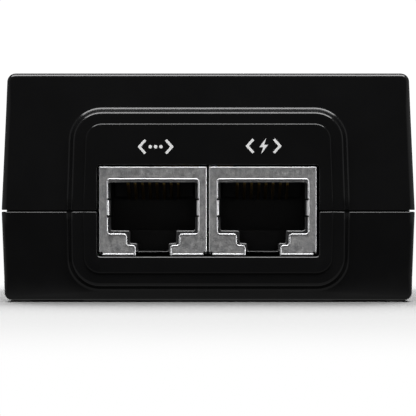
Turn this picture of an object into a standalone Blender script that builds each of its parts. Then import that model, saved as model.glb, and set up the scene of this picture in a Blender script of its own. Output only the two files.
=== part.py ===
"""PoE injector: a mains-powered brick that feeds power into a network cable.

Metres, +Z up. The sizes below are millimetres, and the helpers turn them into metres. The origin lies on
the table under the middle of the case. The two network jacks face -Y and the mains inlet faces +Y.
"""

import math

import bmesh
import bpy
from mathutils import Vector
from mathutils.geometry import interpolate_bezier

MM = 0.001
GAP = 0.3

# Case: two half shells that meet at the parting height and taper away from it.
CASE_HALF_WIDTH = 29.2
CASE_FRONT = -43.5
CASE_REAR = 43.5
CASE_BOTTOM = 0.3
CASE_TOP = 32.3
PARTING_Z = 12.83
PARTING_GAP = 0.34
TOP_DRAFT = (0.83, 0.5)
BOTTOM_DRAFT = (0.46, 0.3)
WALL = 2.0
CORNER_RADIUS = 1.2
TOP_RIM_RADIUS = 1.0
BOTTOM_RIM_RADIUS = 0.8
TONGUE_INSET = 1.25
TONGUE_TOP = 14.0
BOTTOM_SHELL_TOP = PARTING_Z - PARTING_GAP / 2
TOP_SHELL_BOTTOM = PARTING_Z + PARTING_GAP / 2
CAVITY_FLOOR = CASE_BOTTOM + WALL
CAVITY_CEILING = CASE_TOP - WALL

# Port panel: two raised steps on the front, each as
# (half width at the parting, half width at its end, lowest z, highest z, corner radius, front face y).
PANEL_STEPS = (
    (19.55, 19.1, 2.1, 27.02, 4.2, -44.75),
    (17.5, 17.1, 4.19, 25.09, 2.2, -45.0),
)
PANEL_ROOT = -42.3
PORT_OPENING = (15.6, 6.36, 19.35)
INLET_OPENING = (14.3, 5.2, 26.6)

# Case screws, feet, label, light pipe and board supports.
SCREW_X = 23.5
SCREW_Y = 37.5
BOTTOM_BOSS_RADIUS = 3.4
BOTTOM_BOSS_TOP = 11.9
TOP_BOSS_RADIUS = 3.2
HEAD_RADIUS = 2.6
HEAD_BOTTOM = 1.9
HEAD_TOP = 4.0
SHANK_RADIUS = 1.15
SHANK_TOP = 20.0
DRIVE_SLOT = (3.2, 0.8, 1.1)
FOOT_RADIUS = 4.0
FOOT_HEIGHT = 0.7
FOOT_PLACES = ((-22.0, -27.0), (22.0, -27.0), (-22.0, 27.0), (22.0, 27.0))
LABEL_SIZE = (34.0, 50.0, 0.15)
LABEL_BOTTOM = 0.35
STANDOFF_PLACES = ((-20.0, -24.0), (20.0, -24.0), (-20.0, 18.0), (20.0, 18.0))
STANDOFF_RADIUS = 1.8
LED_Y = -26.0
PIPE_RADIUS = 1.3
PIPE_FLANGE_RADIUS = 2.4

# Circuit board.
BOARD_BOTTOM = 4.95
BOARD_TOP = 6.55
BOARD_HALF_WIDTH = 26.2
BOARD_FRONT = -41.1
BOARD_REAR = 24.3
BOARD_BITE = 3.9
SEAT = BOARD_TOP + GAP

# Shielded 8P8C jacks. y and z are case coordinates, and x is measured from the jack's own centre.
JACK_X = 7.73
SHIELD_HALF_WIDTH = 7.595
SHIELD_SHEET = 0.25
SHIELD_FRONT = -44.85
SHIELD_REAR = -28.85
SHIELD_BOTTOM = 6.81
SHIELD_TOP = 19.13
SHIELD_STEPS = ((6.33, 9.67), (3.66, 8.06), (2.43, 6.0))
SHIELD_OPENING_TOP = 17.34
FINGER = (6.1, 6.5, 12.26, 14.35, -41.0)
HOUSING_HALF_WIDTH = 7.04
HOUSING_FRONT = -44.3
HOUSING_REAR = -29.4
HOUSING_BOTTOM = 7.1
HOUSING_TOP = 18.6
CAVITY_STEPS = ((5.95, 10.07, -32.0), (3.25, 8.3, -36.0), (2.18, 7.44, -36.0))
CAVITY_TOP = 16.98
LINTEL_BACK = -43.0
INSERT_HALF_WIDTH = 5.65
INSERT_FRONT = -42.7
INSERT_REAR = -31.0
INSERT_BOTTOM = 17.3
INSERT_TOP = 18.55
COMB_FRONT = -32.6
COMB_BOTTOM = 14.9

# Spring contacts: eight wires that turn together about the line where they leave the insert.
CONTACT_COUNT = 8
CONTACT_PITCH = 1.016
CONTACT_RADIUS = 0.22
CONTACT_HINGE = (-42.3, 16.75)
CONTACT_ROUTE = ((0.0, 0.0), (0.9, -0.2), (7.6, -1.85), (8.9, -2.05))

# C14 mains inlet in the rear wall.
INLET_Z = 15.9
INLET_HALF_WIDTH = 14.0
INLET_HALF_HEIGHT = 10.4
INLET_FRONT = 25.0
FLANGE_HALF_WIDTH = 15.3
FLANGE_HALF_HEIGHT = 11.7
FLANGE_REAR = 45.0
FLANGE_FRONT = 43.8
FLANGE_CORNER = 1.6
RECESS_HALF_WIDTH = 12.2
RECESS_HALF_HEIGHT = 8.4
RECESS_FLOOR = 28.0
RECESS_CHAMFER = 5.0
PIN_SIZE = (2.0, 4.0)
PIN_FRONT = 21.5
PINS = (
    ("inlet_line_pin", -7.0, -2.0, 43.0),
    ("inlet_neutral_pin", 7.0, -2.0, 43.0),
    ("inlet_earth_pin", 0.0, 2.0, 44.0),
)

# Mains leads: routes from the inlet pins down to the board.
LEAD_RADIUS = 0.9
LEADS = (
    (
        "line_lead",
        "insulation_brown",
        ((-7.0, 21.2, 13.9), (-7.0, 20.2, 13.9), (-8.4, 19.4, 11.0), (-9.0, 19.8, 8.2), (-9.0, 19.8, 6.95)),
    ),
    (
        "neutral_lead",
        "insulation_blue",
        ((7.0, 21.2, 13.9), (7.0, 20.2, 13.9), (5.8, 19.3, 11.0), (5.0, 19.8, 8.2), (5.0, 19.8, 6.95)),
    ),
    (
        "earth_lead",
        "insulation_green",
        ((0.0, 21.2, 17.9), (0.0, 20.5, 17.8), (0.0, 20.0, 15.0), (-1.0, 21.4, 10.0), (-1.4, 21.6, 6.95)),
    ),
)

# Transformer, on its own axis.
TRANSFORMER = (0.0, -4.0)
CORE_HALF = (12.0, 3.5)
CORE_TOP = 26.5
CORE_LEG = 3.5
CORE_SIDE_LEG = 3.0
WINDOW = (10.5, 23.5)
BOBBIN_FLANGE = 1.0
BOBBIN_TUBE = 0.8
BOBBIN_DEPTH = 9.0

# Line choke: a ferrite ring with two windings.
CHOKE_CENTRE = (-2.0, 14.0, 9.3)
CHOKE_RING_RADIUS = 3.6
CHOKE_CORE_RADIUS = 1.2
CHOKE_WIRE_RADIUS = 0.3
CHOKE_TURNS = 5
CHOKE_ARC = math.radians(140)

# Electrolytic capacitors, as (name, place, radius, top).
CAPACITORS = (
    ("output_capacitor_1", (8.0, -22.0), 4.3, 20.8),
    ("output_capacitor_2", (18.0, -22.0), 4.3, 20.8),
    ("bulk_capacitor", (15.5, 12.0), 8.0, 27.0),
)

# Components whose body is a moulded block, as (name, x, y, top, edge radius, material).
BLOCKS = (
    ("data_transformer", (-20.0, -4.0), (-27.0, -18.0), 12.5, 0.5, "component_black"),
    ("output_diode", (-24.0, -19.0), (-15.0, -5.0), 11.5, 0.4, "component_black"),
    ("optocoupler", (14.75, 21.25), (-10.3, -5.7), 10.35, 0.4, "component_black"),
    ("bridge_rectifier", (-13.5, -9.5), (3.5, 17.5), 18.0, 0.6, "component_black"),
    ("x_capacitor", (-25.5, -15.5), (14.5, 20.5), 17.8, 0.7, "x_capacitor_case"),
)

# Heatsink with the power switch clamped in it, fuse and indicator.
HEATSINK_X = (-25.0, -18.0)
HEATSINK_Y = (-3.0, 12.0)
HEATSINK_SHEET = 1.4
HEATSINK_TOP = 24.0
SWITCH_Y = (-0.5, 9.5)
SWITCH_BOTTOM = 8.0
SWITCH_TAB = (1.3, 23.0)
SWITCH_BODY = (0.5, 4.4, 17.0)
FUSE_CENTRE = (12.0, 22.3, SEAT + 1.6)
FUSE_HALF_LENGTH = 5.0
FUSE_CAP = (1.6, 1.6)
FUSE_GLASS_RADIUS = 1.4
LED_RADIUS = 1.5
LED_RIM = (1.9, SEAT + 0.8)
LED_TOP = 10.0

SMOOTH_ANGLE = math.radians(35)
MERGE = 0.00001

COLOURS = {
    "case_plastic": ((0.007, 0.007, 0.0075), 0.38, 0.0),
    "foot_rubber": ((0.012, 0.012, 0.012), 0.85, 0.0),
    "screw_steel": ((0.42, 0.42, 0.43), 0.35, 1.0),
    "shield_metal": ((0.48, 0.47, 0.45), 0.34, 1.0),
    "jack_plastic": ((0.010, 0.010, 0.011), 0.5, 0.0),
    "contact_gold": ((0.80, 0.57, 0.22), 0.25, 1.0),
    "inlet_plastic": ((0.008, 0.008, 0.008), 0.42, 0.0),
    "inlet_pin": ((0.66, 0.65, 0.62), 0.25, 1.0),
    "insulation_brown": ((0.10, 0.035, 0.014), 0.45, 0.0),
    "insulation_blue": ((0.020, 0.09, 0.32), 0.45, 0.0),
    "insulation_green": ((0.12, 0.30, 0.03), 0.45, 0.0),
    "board": ((0.03, 0.13, 0.05), 0.45, 0.0),
    "component_black": ((0.012, 0.012, 0.013), 0.45, 0.0),
    "capacitor_sleeve": ((0.02, 0.025, 0.05), 0.3, 0.0),
    "ferrite": ((0.05, 0.05, 0.055), 0.7, 0.0),
    "winding": ((0.62, 0.25, 0.10), 0.35, 1.0),
    "transformer_tape": ((0.72, 0.55, 0.05), 0.4, 0.0),
    "bobbin_plastic": ((0.03, 0.03, 0.03), 0.5, 0.0),
    "heatsink": ((0.62, 0.63, 0.65), 0.4, 1.0),
    "x_capacitor_case": ((0.55, 0.42, 0.05), 0.4, 0.0),
    "fuse_body": ((0.70, 0.66, 0.58), 0.4, 0.0),
    "led_lens": ((0.10, 0.40, 0.12), 0.2, 0.0),
    "light_pipe": ((0.75, 0.80, 0.78), 0.15, 0.0),
    "label": ((0.62, 0.62, 0.60), 0.6, 0.0),
}


def clear_scene():
    for obj in list(bpy.context.scene.objects):
        bpy.data.objects.remove(obj, do_unlink=True)


def new_collection(name):
    collection = bpy.data.collections.new(name)
    bpy.context.scene.collection.children.link(collection)
    return collection


def new_material(name, colour, roughness, metallic):
    material = bpy.data.materials.new(name)
    material.use_nodes = True
    shader = material.node_tree.nodes["Principled BSDF"]
    shader.inputs["Base Color"].default_value = (*colour, 1.0)
    shader.inputs["Roughness"].default_value = roughness
    shader.inputs["Metallic"].default_value = metallic
    material.diffuse_color = (*colour, 1.0)
    return material


clear_scene()
PARTS = new_collection("poe_injector")
CUTTERS = new_collection("cutters")
MATERIALS = {name: new_material(name, *look) for name, look in COLOURS.items()}


# Helpers that add objects.


def add_empty(name, location, parent=None):
    empty = bpy.data.objects.new(name, None)
    empty.empty_display_size = 0.01
    empty.location = Vector(location) * MM
    empty.parent = parent
    PARTS.objects.link(empty)
    return empty


def add_mesh(name, bm, location):
    """A helper solid from a bmesh. It stays hidden until it becomes a part."""
    mesh = bpy.data.meshes.new(name)
    bm.to_mesh(mesh)
    bm.free()
    obj = bpy.data.objects.new(name, mesh)
    obj.location = Vector(location) * MM
    obj.hide_render = True
    obj.display_type = "WIRE"
    CUTTERS.objects.link(obj)
    return obj


def as_part(obj, material, parent=None):
    """Turns a helper solid into a visible part."""
    CUTTERS.objects.unlink(obj)
    PARTS.objects.link(obj)
    obj.hide_render = False
    obj.display_type = "TEXTURED"
    obj.data.materials.append(MATERIALS[material])
    if parent:
        obj.location -= parent.matrix_world.translation
        obj.parent = parent
    return obj


def add_copy(name, mesh, location, parent):
    """A part that shares its mesh with other parts. Its location is relative to its parent."""
    obj = bpy.data.objects.new(name, mesh)
    obj.location = Vector(location) * MM
    obj.parent = parent
    PARTS.objects.link(obj)
    return obj


def finished_mesh(obj, material):
    """The mesh of a helper solid after its modifiers, in world space. The helper is removed."""
    bpy.context.view_layer.update()
    evaluated = obj.evaluated_get(bpy.context.evaluated_depsgraph_get())
    mesh = bpy.data.meshes.new_from_object(evaluated)
    mesh.transform(obj.matrix_world)
    mesh.materials.clear()
    mesh.materials.append(MATERIALS[material])
    bm = bmesh.new()
    bm.from_mesh(mesh)
    bmesh.ops.remove_doubles(bm, verts=bm.verts, dist=MERGE)
    bm.to_mesh(mesh)
    bm.free()
    mesh.shade_smooth()
    mesh.set_sharp_from_angle(angle=SMOOTH_ANGLE)
    bpy.data.objects.remove(obj, do_unlink=True)
    return mesh


def round_edges(bm, is_chosen, radius, segments):
    edges = [edge for edge in bm.edges if is_chosen(edge)]
    bmesh.ops.bevel(
        bm, geom=edges, offset=radius * MM, segments=segments, profile=0.5, affect="EDGES", clamp_overlap=True
    )


def is_along(edge, axis):
    direction = (edge.verts[1].co - edge.verts[0].co).normalized()
    return abs(direction[axis]) > 0.9


def box(name, x, y, z, edge_radius=0.0, edge_axis=None, segments=2):
    """A box over three (low, high) ranges. Its edges along one axis, or all of them, can be rounded."""
    bm = bmesh.new()
    bmesh.ops.create_cube(bm, size=MM)
    size = Vector((x[1] - x[0], y[1] - y[0], z[1] - z[0]))
    bmesh.ops.scale(bm, vec=size, verts=bm.verts)
    if edge_radius:
        round_edges(bm, lambda e: edge_axis is None or is_along(e, edge_axis), edge_radius, segments)
    return add_mesh(name, bm, ((x[0] + x[1]) / 2, (y[0] + y[1]) / 2, (z[0] + z[1]) / 2))


def cylinder(name, radius, place, z, sides=24):
    bm = bmesh.new()
    bmesh.ops.create_cone(
        bm, cap_ends=True, segments=sides, radius1=radius * MM, radius2=radius * MM, depth=(z[1] - z[0]) * MM
    )
    return add_mesh(name, bm, (place[0], place[1], (z[0] + z[1]) / 2))


def turned(name, profile, location, steps=24, is_ring=False):
    """A profile of (radius, height) points, top to bottom down the outer side, turned about Z."""
    bm = bmesh.new()
    points = [bm.verts.new((radius * MM, 0.0, height * MM)) for radius, height in profile]
    for above, below in zip(points, points[1:]):
        bm.edges.new((above, below))
    if is_ring:
        bm.edges.new((points[-1], points[0]))
    obj = add_mesh(name, bm, location)
    screw = obj.modifiers.new("turn", "SCREW")
    screw.steps = steps
    screw.render_steps = steps
    screw.use_merge_vertices = True
    screw.merge_threshold = MERGE
    return obj


def smooth_points(route, samples):
    """Points along one smooth curve through the route's points."""
    points = [Vector(point) for point in route]
    ends = [points[0] * 2 - points[1]] + points + [points[-1] * 2 - points[-2]]
    slopes = [(after - before) / 6 for before, after in zip(ends, ends[2:])]
    curve = [points[0]]
    for start, end, start_slope, end_slope in zip(points, points[1:], slopes, slopes[1:]):
        curve += interpolate_bezier(start, start + start_slope, end - end_slope, end, samples + 1)[1:]
    return curve


def wire(name, points, radius, bevel_resolution=1):
    """A round wire along the points, as a curve object with filled caps."""
    curve = bpy.data.curves.new(name, "CURVE")
    curve.dimensions = "3D"
    curve.bevel_depth = radius * MM
    curve.bevel_resolution = bevel_resolution
    curve.use_fill_caps = True
    spline = curve.splines.new("POLY")
    spline.points.add(len(points) - 1)
    for point, place in zip(spline.points, points):
        point.co = (*(Vector(place) * MM), 1.0)
    obj = bpy.data.objects.new(name, curve)
    obj.hide_render = True
    CUTTERS.objects.link(obj)
    return obj


def outline_prism(name, outline, thickness, location, turn_x=0.0):
    """A flat outline of (across, up) points with a thickness, made a mesh so that it can be cut."""
    curve = bpy.data.curves.new(name, "CURVE")
    curve.dimensions = "2D"
    curve.fill_mode = "BOTH"
    curve.extrude = thickness * MM / 2
    spline = curve.splines.new("POLY")
    spline.points.add(len(outline) - 1)
    for point, (across, up) in zip(spline.points, outline):
        point.co = (across * MM, up * MM, 0.0, 1.0)
    spline.use_cyclic_u = True
    flat = bpy.data.objects.new(name, curve)
    flat.location = Vector(location) * MM
    flat.rotation_euler.x = turn_x
    CUTTERS.objects.link(flat)
    bpy.context.view_layer.update()
    mesh = bpy.data.meshes.new_from_object(flat.evaluated_get(bpy.context.evaluated_depsgraph_get()))
    world = flat.matrix_world.copy()
    bpy.data.objects.remove(flat, do_unlink=True)
    bm = bmesh.new()
    bm.from_mesh(mesh)
    bmesh.ops.remove_doubles(bm, verts=bm.verts, dist=MERGE)
    bmesh.ops.recalc_face_normals(bm, faces=bm.faces)
    solid = add_mesh(name, bm, (0.0, 0.0, 0.0))
    solid.matrix_world = world
    return solid


def combine(target, other, operation):
    modifier = target.modifiers.new(other.name, "BOOLEAN")
    modifier.operation = operation
    modifier.object = other
    modifier.solver = "EXACT"


def cut(target, *cutters):
    for cutter in cutters:
        combine(target, cutter, "DIFFERENCE")


def join(target, *additions):
    for addition in additions:
        combine(target, addition, "UNION")


# Case.


def case_section(z, inset):
    """Half width, front and rear of the case at a height, moved inwards by the inset."""
    if z > PARTING_Z:
        rise = (z - PARTING_Z) / (CASE_TOP - PARTING_Z)
        draft_x, draft_y = TOP_DRAFT
    else:
        rise = (PARTING_Z - z) / (PARTING_Z - CASE_BOTTOM)
        draft_x, draft_y = BOTTOM_DRAFT
    half_width = CASE_HALF_WIDTH - draft_x * rise - inset
    return half_width, CASE_FRONT + draft_y * rise + inset, CASE_REAR - draft_y * rise - inset


def case_block(name, z, inset=0.0, rim_z=None, rim_radius=0.0):
    """A tapered block that follows the case between two heights, with rounded upright edges."""
    bm = bmesh.new()
    bmesh.ops.create_cube(bm, size=2.0)
    for vertex in bm.verts:
        height = z[1] if vertex.co.z > 0 else z[0]
        half_width, front, rear = case_section(height, inset)
        side = half_width if vertex.co.x > 0 else -half_width
        end = rear if vertex.co.y > 0 else front
        vertex.co = Vector((side, end, height)) * MM
    corner = max(CORNER_RADIUS - inset, GAP)
    round_edges(bm, lambda e: is_along(e, 2), corner, 4)
    if rim_z is not None:
        level = rim_z * MM
        round_edges(bm, lambda e: all(abs(v.co.z - level) < MERGE for v in e.verts), rim_radius, 3)
    return add_mesh(name, bm, (0.0, 0.0, 0.0))


def panel_half(name, step, is_upper):
    """One raised step of the port panel, above or below the parting, with rounded far corners."""
    wide, narrow, low, high, radius, front = step
    near, far = (TOP_SHELL_BOTTOM, high) if is_upper else (BOTTOM_SHELL_TOP, low)
    bm = bmesh.new()
    bmesh.ops.create_cube(bm, size=2.0)
    for vertex in bm.verts:
        is_far = (vertex.co.z > 0) == is_upper
        half_width = narrow if is_far else wide
        side = half_width if vertex.co.x > 0 else -half_width
        depth = PANEL_ROOT if vertex.co.y > 0 else front
        vertex.co = Vector((side, depth, far if is_far else near)) * MM
    level = far * MM
    round_edges(
        bm, lambda e: is_along(e, 1) and all(abs(v.co.z - level) < MERGE for v in e.verts), radius, 5
    )
    return add_mesh(name, bm, (0.0, 0.0, 0.0))


def screw_places():
    return [(x, y) for y in (-SCREW_Y, SCREW_Y) for x in (-SCREW_X, SCREW_X)]


def wall_openings(prefix):
    """Cutters through the front wall for the jacks and through the rear wall for the inlet."""
    half_width, low, high = PORT_OPENING
    port = box(prefix + "_port_cutter", (-half_width, half_width), (-46.0, -41.0), (low, high))
    half_width, low, high = INLET_OPENING
    inlet = box(prefix + "_inlet_cutter", (-half_width, half_width), (41.0, 46.0), (low, high))
    return port, inlet


def make_top_shell(parent):
    shell = case_block("top_shell", (TOP_SHELL_BOTTOM, CASE_TOP), 0.0, CASE_TOP, TOP_RIM_RADIUS)
    join(shell, *[panel_half(f"top_panel_{i}", step, True) for i, step in enumerate(PANEL_STEPS)])
    cut(shell, case_block("top_cavity", (TOP_SHELL_BOTTOM - 1.0, CAVITY_CEILING), WALL))
    rebate = case_block("rebate", (TOP_SHELL_BOTTOM - 1.0, TONGUE_TOP + GAP), TONGUE_INSET - GAP)
    cut(shell, rebate)
    for number, place in enumerate(screw_places()):
        join(shell, cylinder(f"top_boss_{number}", TOP_BOSS_RADIUS, place, (12.2, CAVITY_CEILING + 0.6)))
        cut(shell, cylinder(f"pilot_{number}", SHANK_RADIUS + GAP, place, (11.0, SHANK_TOP + GAP), 12))
    cut(shell, cylinder("pipe_hole", PIPE_RADIUS + GAP, (0.0, LED_Y), (CAVITY_CEILING - 1, CASE_TOP + 1)))
    cut(shell, *wall_openings("top"))
    return as_part(shell, "case_plastic", parent)


def make_bottom_shell(parent):
    shell = case_block("bottom_shell", (CASE_BOTTOM, BOTTOM_SHELL_TOP), 0.0, CASE_BOTTOM, BOTTOM_RIM_RADIUS)
    join(shell, *[panel_half(f"bottom_panel_{i}", step, False) for i, step in enumerate(PANEL_STEPS)])
    join(shell, case_block("tongue", (BOTTOM_SHELL_TOP - 6.0, TONGUE_TOP), TONGUE_INSET))
    cut(shell, case_block("bottom_cavity", (CAVITY_FLOOR, TONGUE_TOP + 1.0), WALL))
    for number, place in enumerate(screw_places()):
        join(shell, cylinder(f"bottom_boss_{number}", BOTTOM_BOSS_RADIUS, place, (1.0, BOTTOM_BOSS_TOP)))
        cut(
            shell,
            cylinder(f"counterbore_{number}", HEAD_RADIUS + GAP, place, (-1.0, HEAD_TOP + GAP), 20),
            cylinder(f"screw_hole_{number}", SHANK_RADIUS + GAP, place, (HEAD_TOP, BOTTOM_BOSS_TOP + 1), 12),
        )
    for number, place in enumerate(STANDOFF_PLACES):
        height = (CAVITY_FLOOR - 1.0, BOARD_BOTTOM - GAP)
        join(shell, cylinder(f"standoff_{number}", STANDOFF_RADIUS, place, height, 12))
    for number, place in enumerate(FOOT_PLACES):
        cut(shell, cylinder(f"foot_recess_{number}", FOOT_RADIUS + GAP, place, (-1.0, FOOT_HEIGHT + GAP), 20))
    width, length, thickness = LABEL_SIZE
    across = (-width / 2 - GAP, width / 2 + GAP)
    along = (-length / 2 - GAP, length / 2 + GAP)
    cut(shell, box("label_recess", across, along, (-1.0, LABEL_BOTTOM + thickness + GAP)))
    cut(shell, *wall_openings("bottom"))
    return as_part(shell, "case_plastic", parent)


def make_screws(parent):
    profile = (
        (0.0, SHANK_TOP),
        (SHANK_RADIUS * 0.5, SHANK_TOP),
        (SHANK_RADIUS, SHANK_TOP - 1.5),
        (SHANK_RADIUS, HEAD_TOP),
        (HEAD_RADIUS, HEAD_TOP),
        (HEAD_RADIUS, HEAD_BOTTOM + 0.8),
        (HEAD_RADIUS * 0.7, HEAD_BOTTOM),
        (0.0, HEAD_BOTTOM),
    )
    screw = turned("screw", profile, (0.0, 0.0, 0.0), 16)
    length, width, depth = DRIVE_SLOT
    height = (HEAD_BOTTOM - 1.0, HEAD_BOTTOM + depth)
    cut(screw, box("slot_x", (-length / 2, length / 2), (-width / 2, width / 2), height))
    cut(screw, box("slot_y", (-width / 2, width / 2), (-length / 2, length / 2), height))
    mesh = finished_mesh(screw, "screw_steel")
    for number, (x, y) in enumerate(screw_places(), 1):
        add_copy(f"case_screw_{number}", mesh, (x, y, 0.0), parent)


def make_feet(parent):
    foot = cylinder("foot", FOOT_RADIUS, (0.0, 0.0), (0.0, FOOT_HEIGHT), 20)
    mesh = finished_mesh(foot, "foot_rubber")
    for number, (x, y) in enumerate(FOOT_PLACES, 1):
        add_copy(f"foot_{number}", mesh, (x, y, 0.0), parent)


def make_light_pipe(parent):
    profile = (
        (0.0, CASE_TOP),
        (PIPE_RADIUS, CASE_TOP),
        (PIPE_RADIUS, CAVITY_CEILING - GAP),
        (PIPE_FLANGE_RADIUS, CAVITY_CEILING - GAP),
        (PIPE_FLANGE_RADIUS, CAVITY_CEILING - 1.6),
        (PIPE_RADIUS, CAVITY_CEILING - 1.6),
        (PIPE_RADIUS, 10.4),
        (0.0, 10.4),
    )
    return as_part(turned("light_pipe", profile, (0.0, LED_Y, 0.0), 20), "light_pipe", parent)


def make_label(parent):
    width, length, thickness = LABEL_SIZE
    height = (LABEL_BOTTOM, LABEL_BOTTOM + thickness)
    label = box("rating_label", (-width / 2, width / 2), (-length / 2, length / 2), height, 1.5, 2, 3)
    return as_part(label, "label", parent)


# Network jacks.


def shield_mesh():
    inner = SHIELD_HALF_WIDTH - SHIELD_SHEET
    shield = box(
        "shield",
        (-SHIELD_HALF_WIDTH, SHIELD_HALF_WIDTH),
        (SHIELD_FRONT, SHIELD_REAR),
        (SHIELD_BOTTOM, SHIELD_TOP),
    )
    hollow = box(
        "shield_hollow",
        (-inner, inner),
        (SHIELD_FRONT + SHIELD_SHEET, SHIELD_REAR - SHIELD_SHEET),
        (SHIELD_BOTTOM - 1.0, SHIELD_TOP - SHIELD_SHEET),
    )
    cut(shield, hollow)
    for number, (half_width, low) in enumerate(SHIELD_STEPS):
        reach = (SHIELD_FRONT - 1.0, SHIELD_FRONT + 1.0)
        high = SHIELD_OPENING_TOP - number
        cut(shield, box(f"shield_step_{number}", (-half_width, half_width), reach, (low, high)))
    inside, outside, low, high, back = FINGER
    for name, across in (("left", (-outside, -inside)), ("right", (inside, outside))):
        join(shield, box(f"finger_{name}", across, (SHIELD_FRONT, back), (low, high)))
    return finished_mesh(shield, "shield_metal")


def housing_mesh():
    housing = box(
        "housing",
        (-HOUSING_HALF_WIDTH, HOUSING_HALF_WIDTH),
        (HOUSING_FRONT, HOUSING_REAR),
        (HOUSING_BOTTOM, HOUSING_TOP),
    )
    for number, (half_width, low, back) in enumerate(CAVITY_STEPS):
        high = CAVITY_TOP - number
        cut(housing, box(f"cavity_step_{number}", (-half_width, half_width), (-46.0, back), (low, high)))
    half_width = CAVITY_STEPS[0][0]
    rear = INSERT_REAR + 0.5
    low = COMB_BOTTOM - 0.4
    cut(housing, box("insert_slot", (-half_width, half_width), (LINTEL_BACK, rear), (low, HOUSING_TOP + 1)))
    inside, outside, low, high, back = FINGER
    for name, side in (("left", -1), ("right", 1)):
        across = sorted((side * (half_width - 0.5), side * (outside + 0.25)))
        notch = box(f"finger_notch_{name}", across, (-46.0, back + 1.0), (low - 0.26, high + 0.25))
        cut(housing, notch)
    return finished_mesh(housing, "jack_plastic")


def insert_mesh():
    across = (-INSERT_HALF_WIDTH, INSERT_HALF_WIDTH)
    insert = box("insert", across, (INSERT_FRONT, INSERT_REAR), (INSERT_BOTTOM, INSERT_TOP))
    join(insert, box("comb", across, (COMB_FRONT, INSERT_REAR), (COMB_BOTTOM, INSERT_BOTTOM + 0.5)))
    return finished_mesh(insert, "jack_plastic")


def contact_mesh():
    route = [(0.0, y, z) for y, z in CONTACT_ROUTE]
    return finished_mesh(wire("contact", smooth_points(route, 3), CONTACT_RADIUS), "contact_gold")


def make_jacks(parent):
    shield = shield_mesh()
    housing = housing_mesh()
    insert = insert_mesh()
    contact = contact_mesh()
    for name, x in (("data", -JACK_X), ("power", JACK_X)):
        jack = add_empty(f"{name}_jack", (x, 0.0, 0.0), parent)
        add_copy(f"{name}_jack_shield", shield, (0.0, 0.0, 0.0), jack)
        add_copy(f"{name}_jack_housing", housing, (0.0, 0.0, 0.0), jack)
        add_copy(f"{name}_jack_contact_insert", insert, (0.0, 0.0, 0.0), jack)
        hinge = add_empty(f"{name}_contact_hinge", (0.0, *CONTACT_HINGE), jack)
        for number in range(CONTACT_COUNT):
            across = (number - (CONTACT_COUNT - 1) / 2) * CONTACT_PITCH
            add_copy(f"{name}_jack_contact_{number + 1}", contact, (across, 0.0, 0.0), hinge)


# Mains inlet and leads.


def make_inlet(parent):
    z = (INLET_Z - INLET_HALF_HEIGHT, INLET_Z + INLET_HALF_HEIGHT)
    body = box("inlet_body", (-INLET_HALF_WIDTH, INLET_HALF_WIDTH), (INLET_FRONT, FLANGE_FRONT + 0.5), z)
    z = (INLET_Z - FLANGE_HALF_HEIGHT, INLET_Z + FLANGE_HALF_HEIGHT)
    across = (-FLANGE_HALF_WIDTH, FLANGE_HALF_WIDTH)
    join(body, box("inlet_flange", across, (FLANGE_FRONT, FLANGE_REAR), z, FLANGE_CORNER, 1, 3))
    wide = RECESS_HALF_WIDTH
    tall = RECESS_HALF_HEIGHT
    chamfer = RECESS_CHAMFER
    outline = (
        (-wide, -tall),
        (wide, -tall),
        (wide, tall - chamfer),
        (wide - chamfer, tall),
        (chamfer - wide, tall),
        (-wide, tall - chamfer),
    )
    depth = FLANGE_REAR + 1.0 - RECESS_FLOOR
    middle = RECESS_FLOOR + depth / 2
    cut(body, outline_prism("inlet_recess", outline, depth, (0.0, middle, INLET_Z), math.pi / 2))
    thick, tall = PIN_SIZE
    for name, x, rise, rear in PINS:
        across = (x - thick / 2, x + thick / 2)
        z = (INLET_Z + rise - tall / 2, INLET_Z + rise + tall / 2)
        hole_x = (across[0] - GAP, across[1] + GAP)
        hole_z = (z[0] - GAP, z[1] + GAP)
        cut(body, box(name + "_hole", hole_x, (INLET_FRONT - 1.0, RECESS_FLOOR + 1.0), hole_z))
        as_part(box(name, across, (PIN_FRONT, rear), z, 0.35, 1, 1), "inlet_pin", parent)
    return as_part(body, "inlet_plastic", parent)


def make_leads(parent):
    for name, material, route in LEADS:
        lead = wire(name, smooth_points(route, 3), LEAD_RADIUS, 2)
        as_part(lead, material, parent)


# Circuit board and the components on it.


def make_board(parent):
    across = (-BOARD_HALF_WIDTH, BOARD_HALF_WIDTH)
    board = box("circuit_board", across, (BOARD_FRONT, BOARD_REAR), (BOARD_BOTTOM, BOARD_TOP))
    depth = (BOARD_FRONT - BOARD_BITE, BOARD_BITE - SCREW_Y)
    height = (BOARD_BOTTOM - 1.0, BOARD_TOP + 1.0)
    for name, side in (("left", -1), ("right", 1)):
        across = sorted((side * (SCREW_X - BOARD_BITE), side * (BOARD_HALF_WIDTH + BOARD_BITE)))
        cut(board, box(f"board_bite_{name}", across, depth, height, 2.0, 2, 3))
    return as_part(board, "board", parent)


def make_capacitor(name, place, radius, top, parent):
    """An electrolytic can: rolled groove near its foot and a rounded crimp at its top."""
    profile = (
        (0.0, top - 0.3),
        (radius - 1.1, top - 0.3),
        (radius - 0.8, top),
        (radius - 0.3, top),
        (radius, top - 0.5),
        (radius, SEAT + 2.6),
        (radius - 0.5, SEAT + 2.1),
        (radius, SEAT + 1.6),
        (radius, SEAT),
        (0.0, SEAT),
    )
    return as_part(turned(name, profile, (*place, 0.0)), "capacitor_sleeve", parent)


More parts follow.
